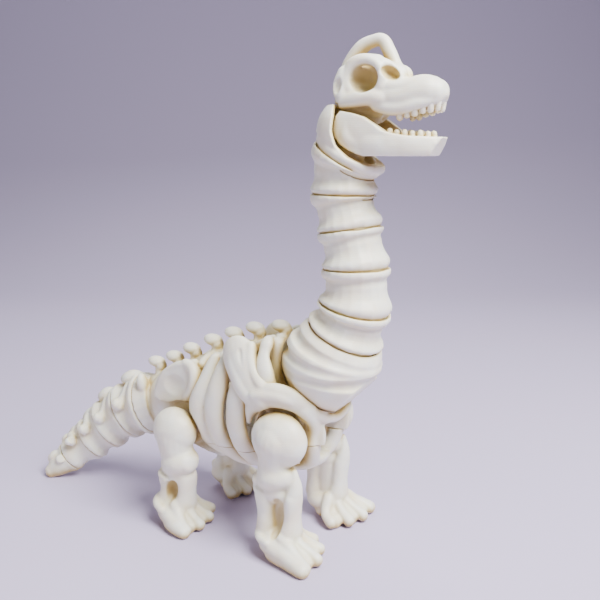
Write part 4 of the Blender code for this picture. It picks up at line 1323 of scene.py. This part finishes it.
class TOY_OT_stage(Operator):
    """Sets the floor with its curved back, the soft lamps and the camera"""

    bl_idname = "toy.stage"
    bl_label = "Stage"

    def execute(self, context):
        stage = context.scene.stage_settings
        studio_sweep(stage)
        for name, place, size, power in LAMPS:
            bpy.ops.object.light_add(type="AREA", location=place)
            lamp = bpy.context.object
            lamp.name = name
            lamp.data.size = size
            lamp.data.energy = power
            lamp.rotation_euler = (LAMP_AIM - Vector(place)).to_track_quat("-Z", "Y").to_euler()
        world = bpy.data.worlds.new("studio")
        world.use_nodes = True
        sky = world.node_tree.nodes["Background"].inputs
        sky["Color"].default_value = linear("#EEEAF4")
        sky["Strength"].default_value = 0.14
        context.scene.world = world
        bpy.ops.object.camera_add(location=stage.camera_place, rotation=stage.camera_turn)
        camera = bpy.context.object
        camera.data.lens = stage.lens
        camera.data.sensor_width = 36.0
        camera.data.clip_start = 0.01
        camera.data.clip_end = 10.0
        context.scene.camera = camera
        return {"FINISHED"}


def studio_sweep(stage):
    """A paper floor that curves up into a wall behind the toy."""
    deselect()
    heading = stage.camera_turn[2]
    bpy.ops.mesh.primitive_plane_add(size=PAPER_SIZE, rotation=(0, 0, heading))
    floor = bpy.context.object
    floor.name = "studio_sweep"
    away = Vector((-math.sin(heading), math.cos(heading), 0))
    floor.location = away * PAPER_SHIFT
    settle(floor)
    far = max(vert.co.dot(away) for vert in floor.data.vertices)
    for vert in floor.data.vertices:
        vert.select = vert.co.dot(away) > far - 0.01
    for edge in floor.data.edges:
        edge.select = all(floor.data.vertices[number].select for number in edge.vertices)
    for face in floor.data.polygons:
        face.select = False
    bpy.ops.object.mode_set(mode="EDIT")
    bpy.ops.mesh.select_mode(type="EDGE")
    bpy.ops.mesh.extrude_region_move(TRANSFORM_OT_translate={"value": (0, 0, WALL_HEIGHT)})
    finish_edit()
    modify(floor, "BEVEL", width=CURVE_RADIUS, segments=24, limit_method="ANGLE")
    activate(floor)
    bpy.ops.object.shade_smooth()
    material = bpy.data.materials.new("matt_studio_paper")
    material.use_nodes = True
    shader = material.node_tree.nodes["Principled BSDF"]
    shader.inputs["Base Color"].default_value = linear(stage.floor)
    shader.inputs["Roughness"].default_value = 0.9
    floor.data.materials.append(material)
    return floor


PIECE_OPERATORS = (
    TOY_OT_neck,
    TOY_OT_bowl,
    TOY_OT_skull,
    TOY_OT_jaw,
    TOY_OT_backbone,
    TOY_OT_ribs,
    TOY_OT_shoulders,
    TOY_OT_sternum,
    TOY_OT_pelvis,
    TOY_OT_tail,
    TOY_OT_legs,
    TOY_OT_stage,
)


class TOY_PT_pieces(Panel):
    """Lists the pieces of the toy in the sidebar"""

    bl_idname = "TOY_PT_pieces"
    bl_label = "Skeleton toy"
    bl_space_type = "VIEW_3D"
    bl_region_type = "UI"
    bl_category = "Skeleton toy"

    def draw(self, context):
        for group in (context.scene.toy_settings, context.scene.stage_settings):
            box = self.layout.box()
            for name in group.bl_rna.properties.keys():
                if name not in ("rna_type", "name"):
                    box.prop(group, name)
        for operator in PIECE_OPERATORS:
            self.layout.operator(operator.bl_idname)


CLASSES = (ToySettings, StageSettings, *PIECE_OPERATORS, TOY_PT_pieces)


def register():
    for cls in CLASSES:
        bpy.utils.register_class(cls)
    bpy.types.Scene.toy_settings = PointerProperty(type=ToySettings)
    bpy.types.Scene.stage_settings = PointerProperty(type=StageSettings)


def unregister():
    del bpy.types.Scene.stage_settings
    del bpy.types.Scene.toy_settings
    for cls in reversed(CLASSES):
        bpy.utils.unregister_class(cls)


def main():
    register()
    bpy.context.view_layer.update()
    for operator in PIECE_OPERATORS:
        group, name = operator.bl_idname.split(".")
        getattr(getattr(bpy.ops, group), name)()
    bpy.context.view_layer.update()


if __name__ == "__main__":
    main()
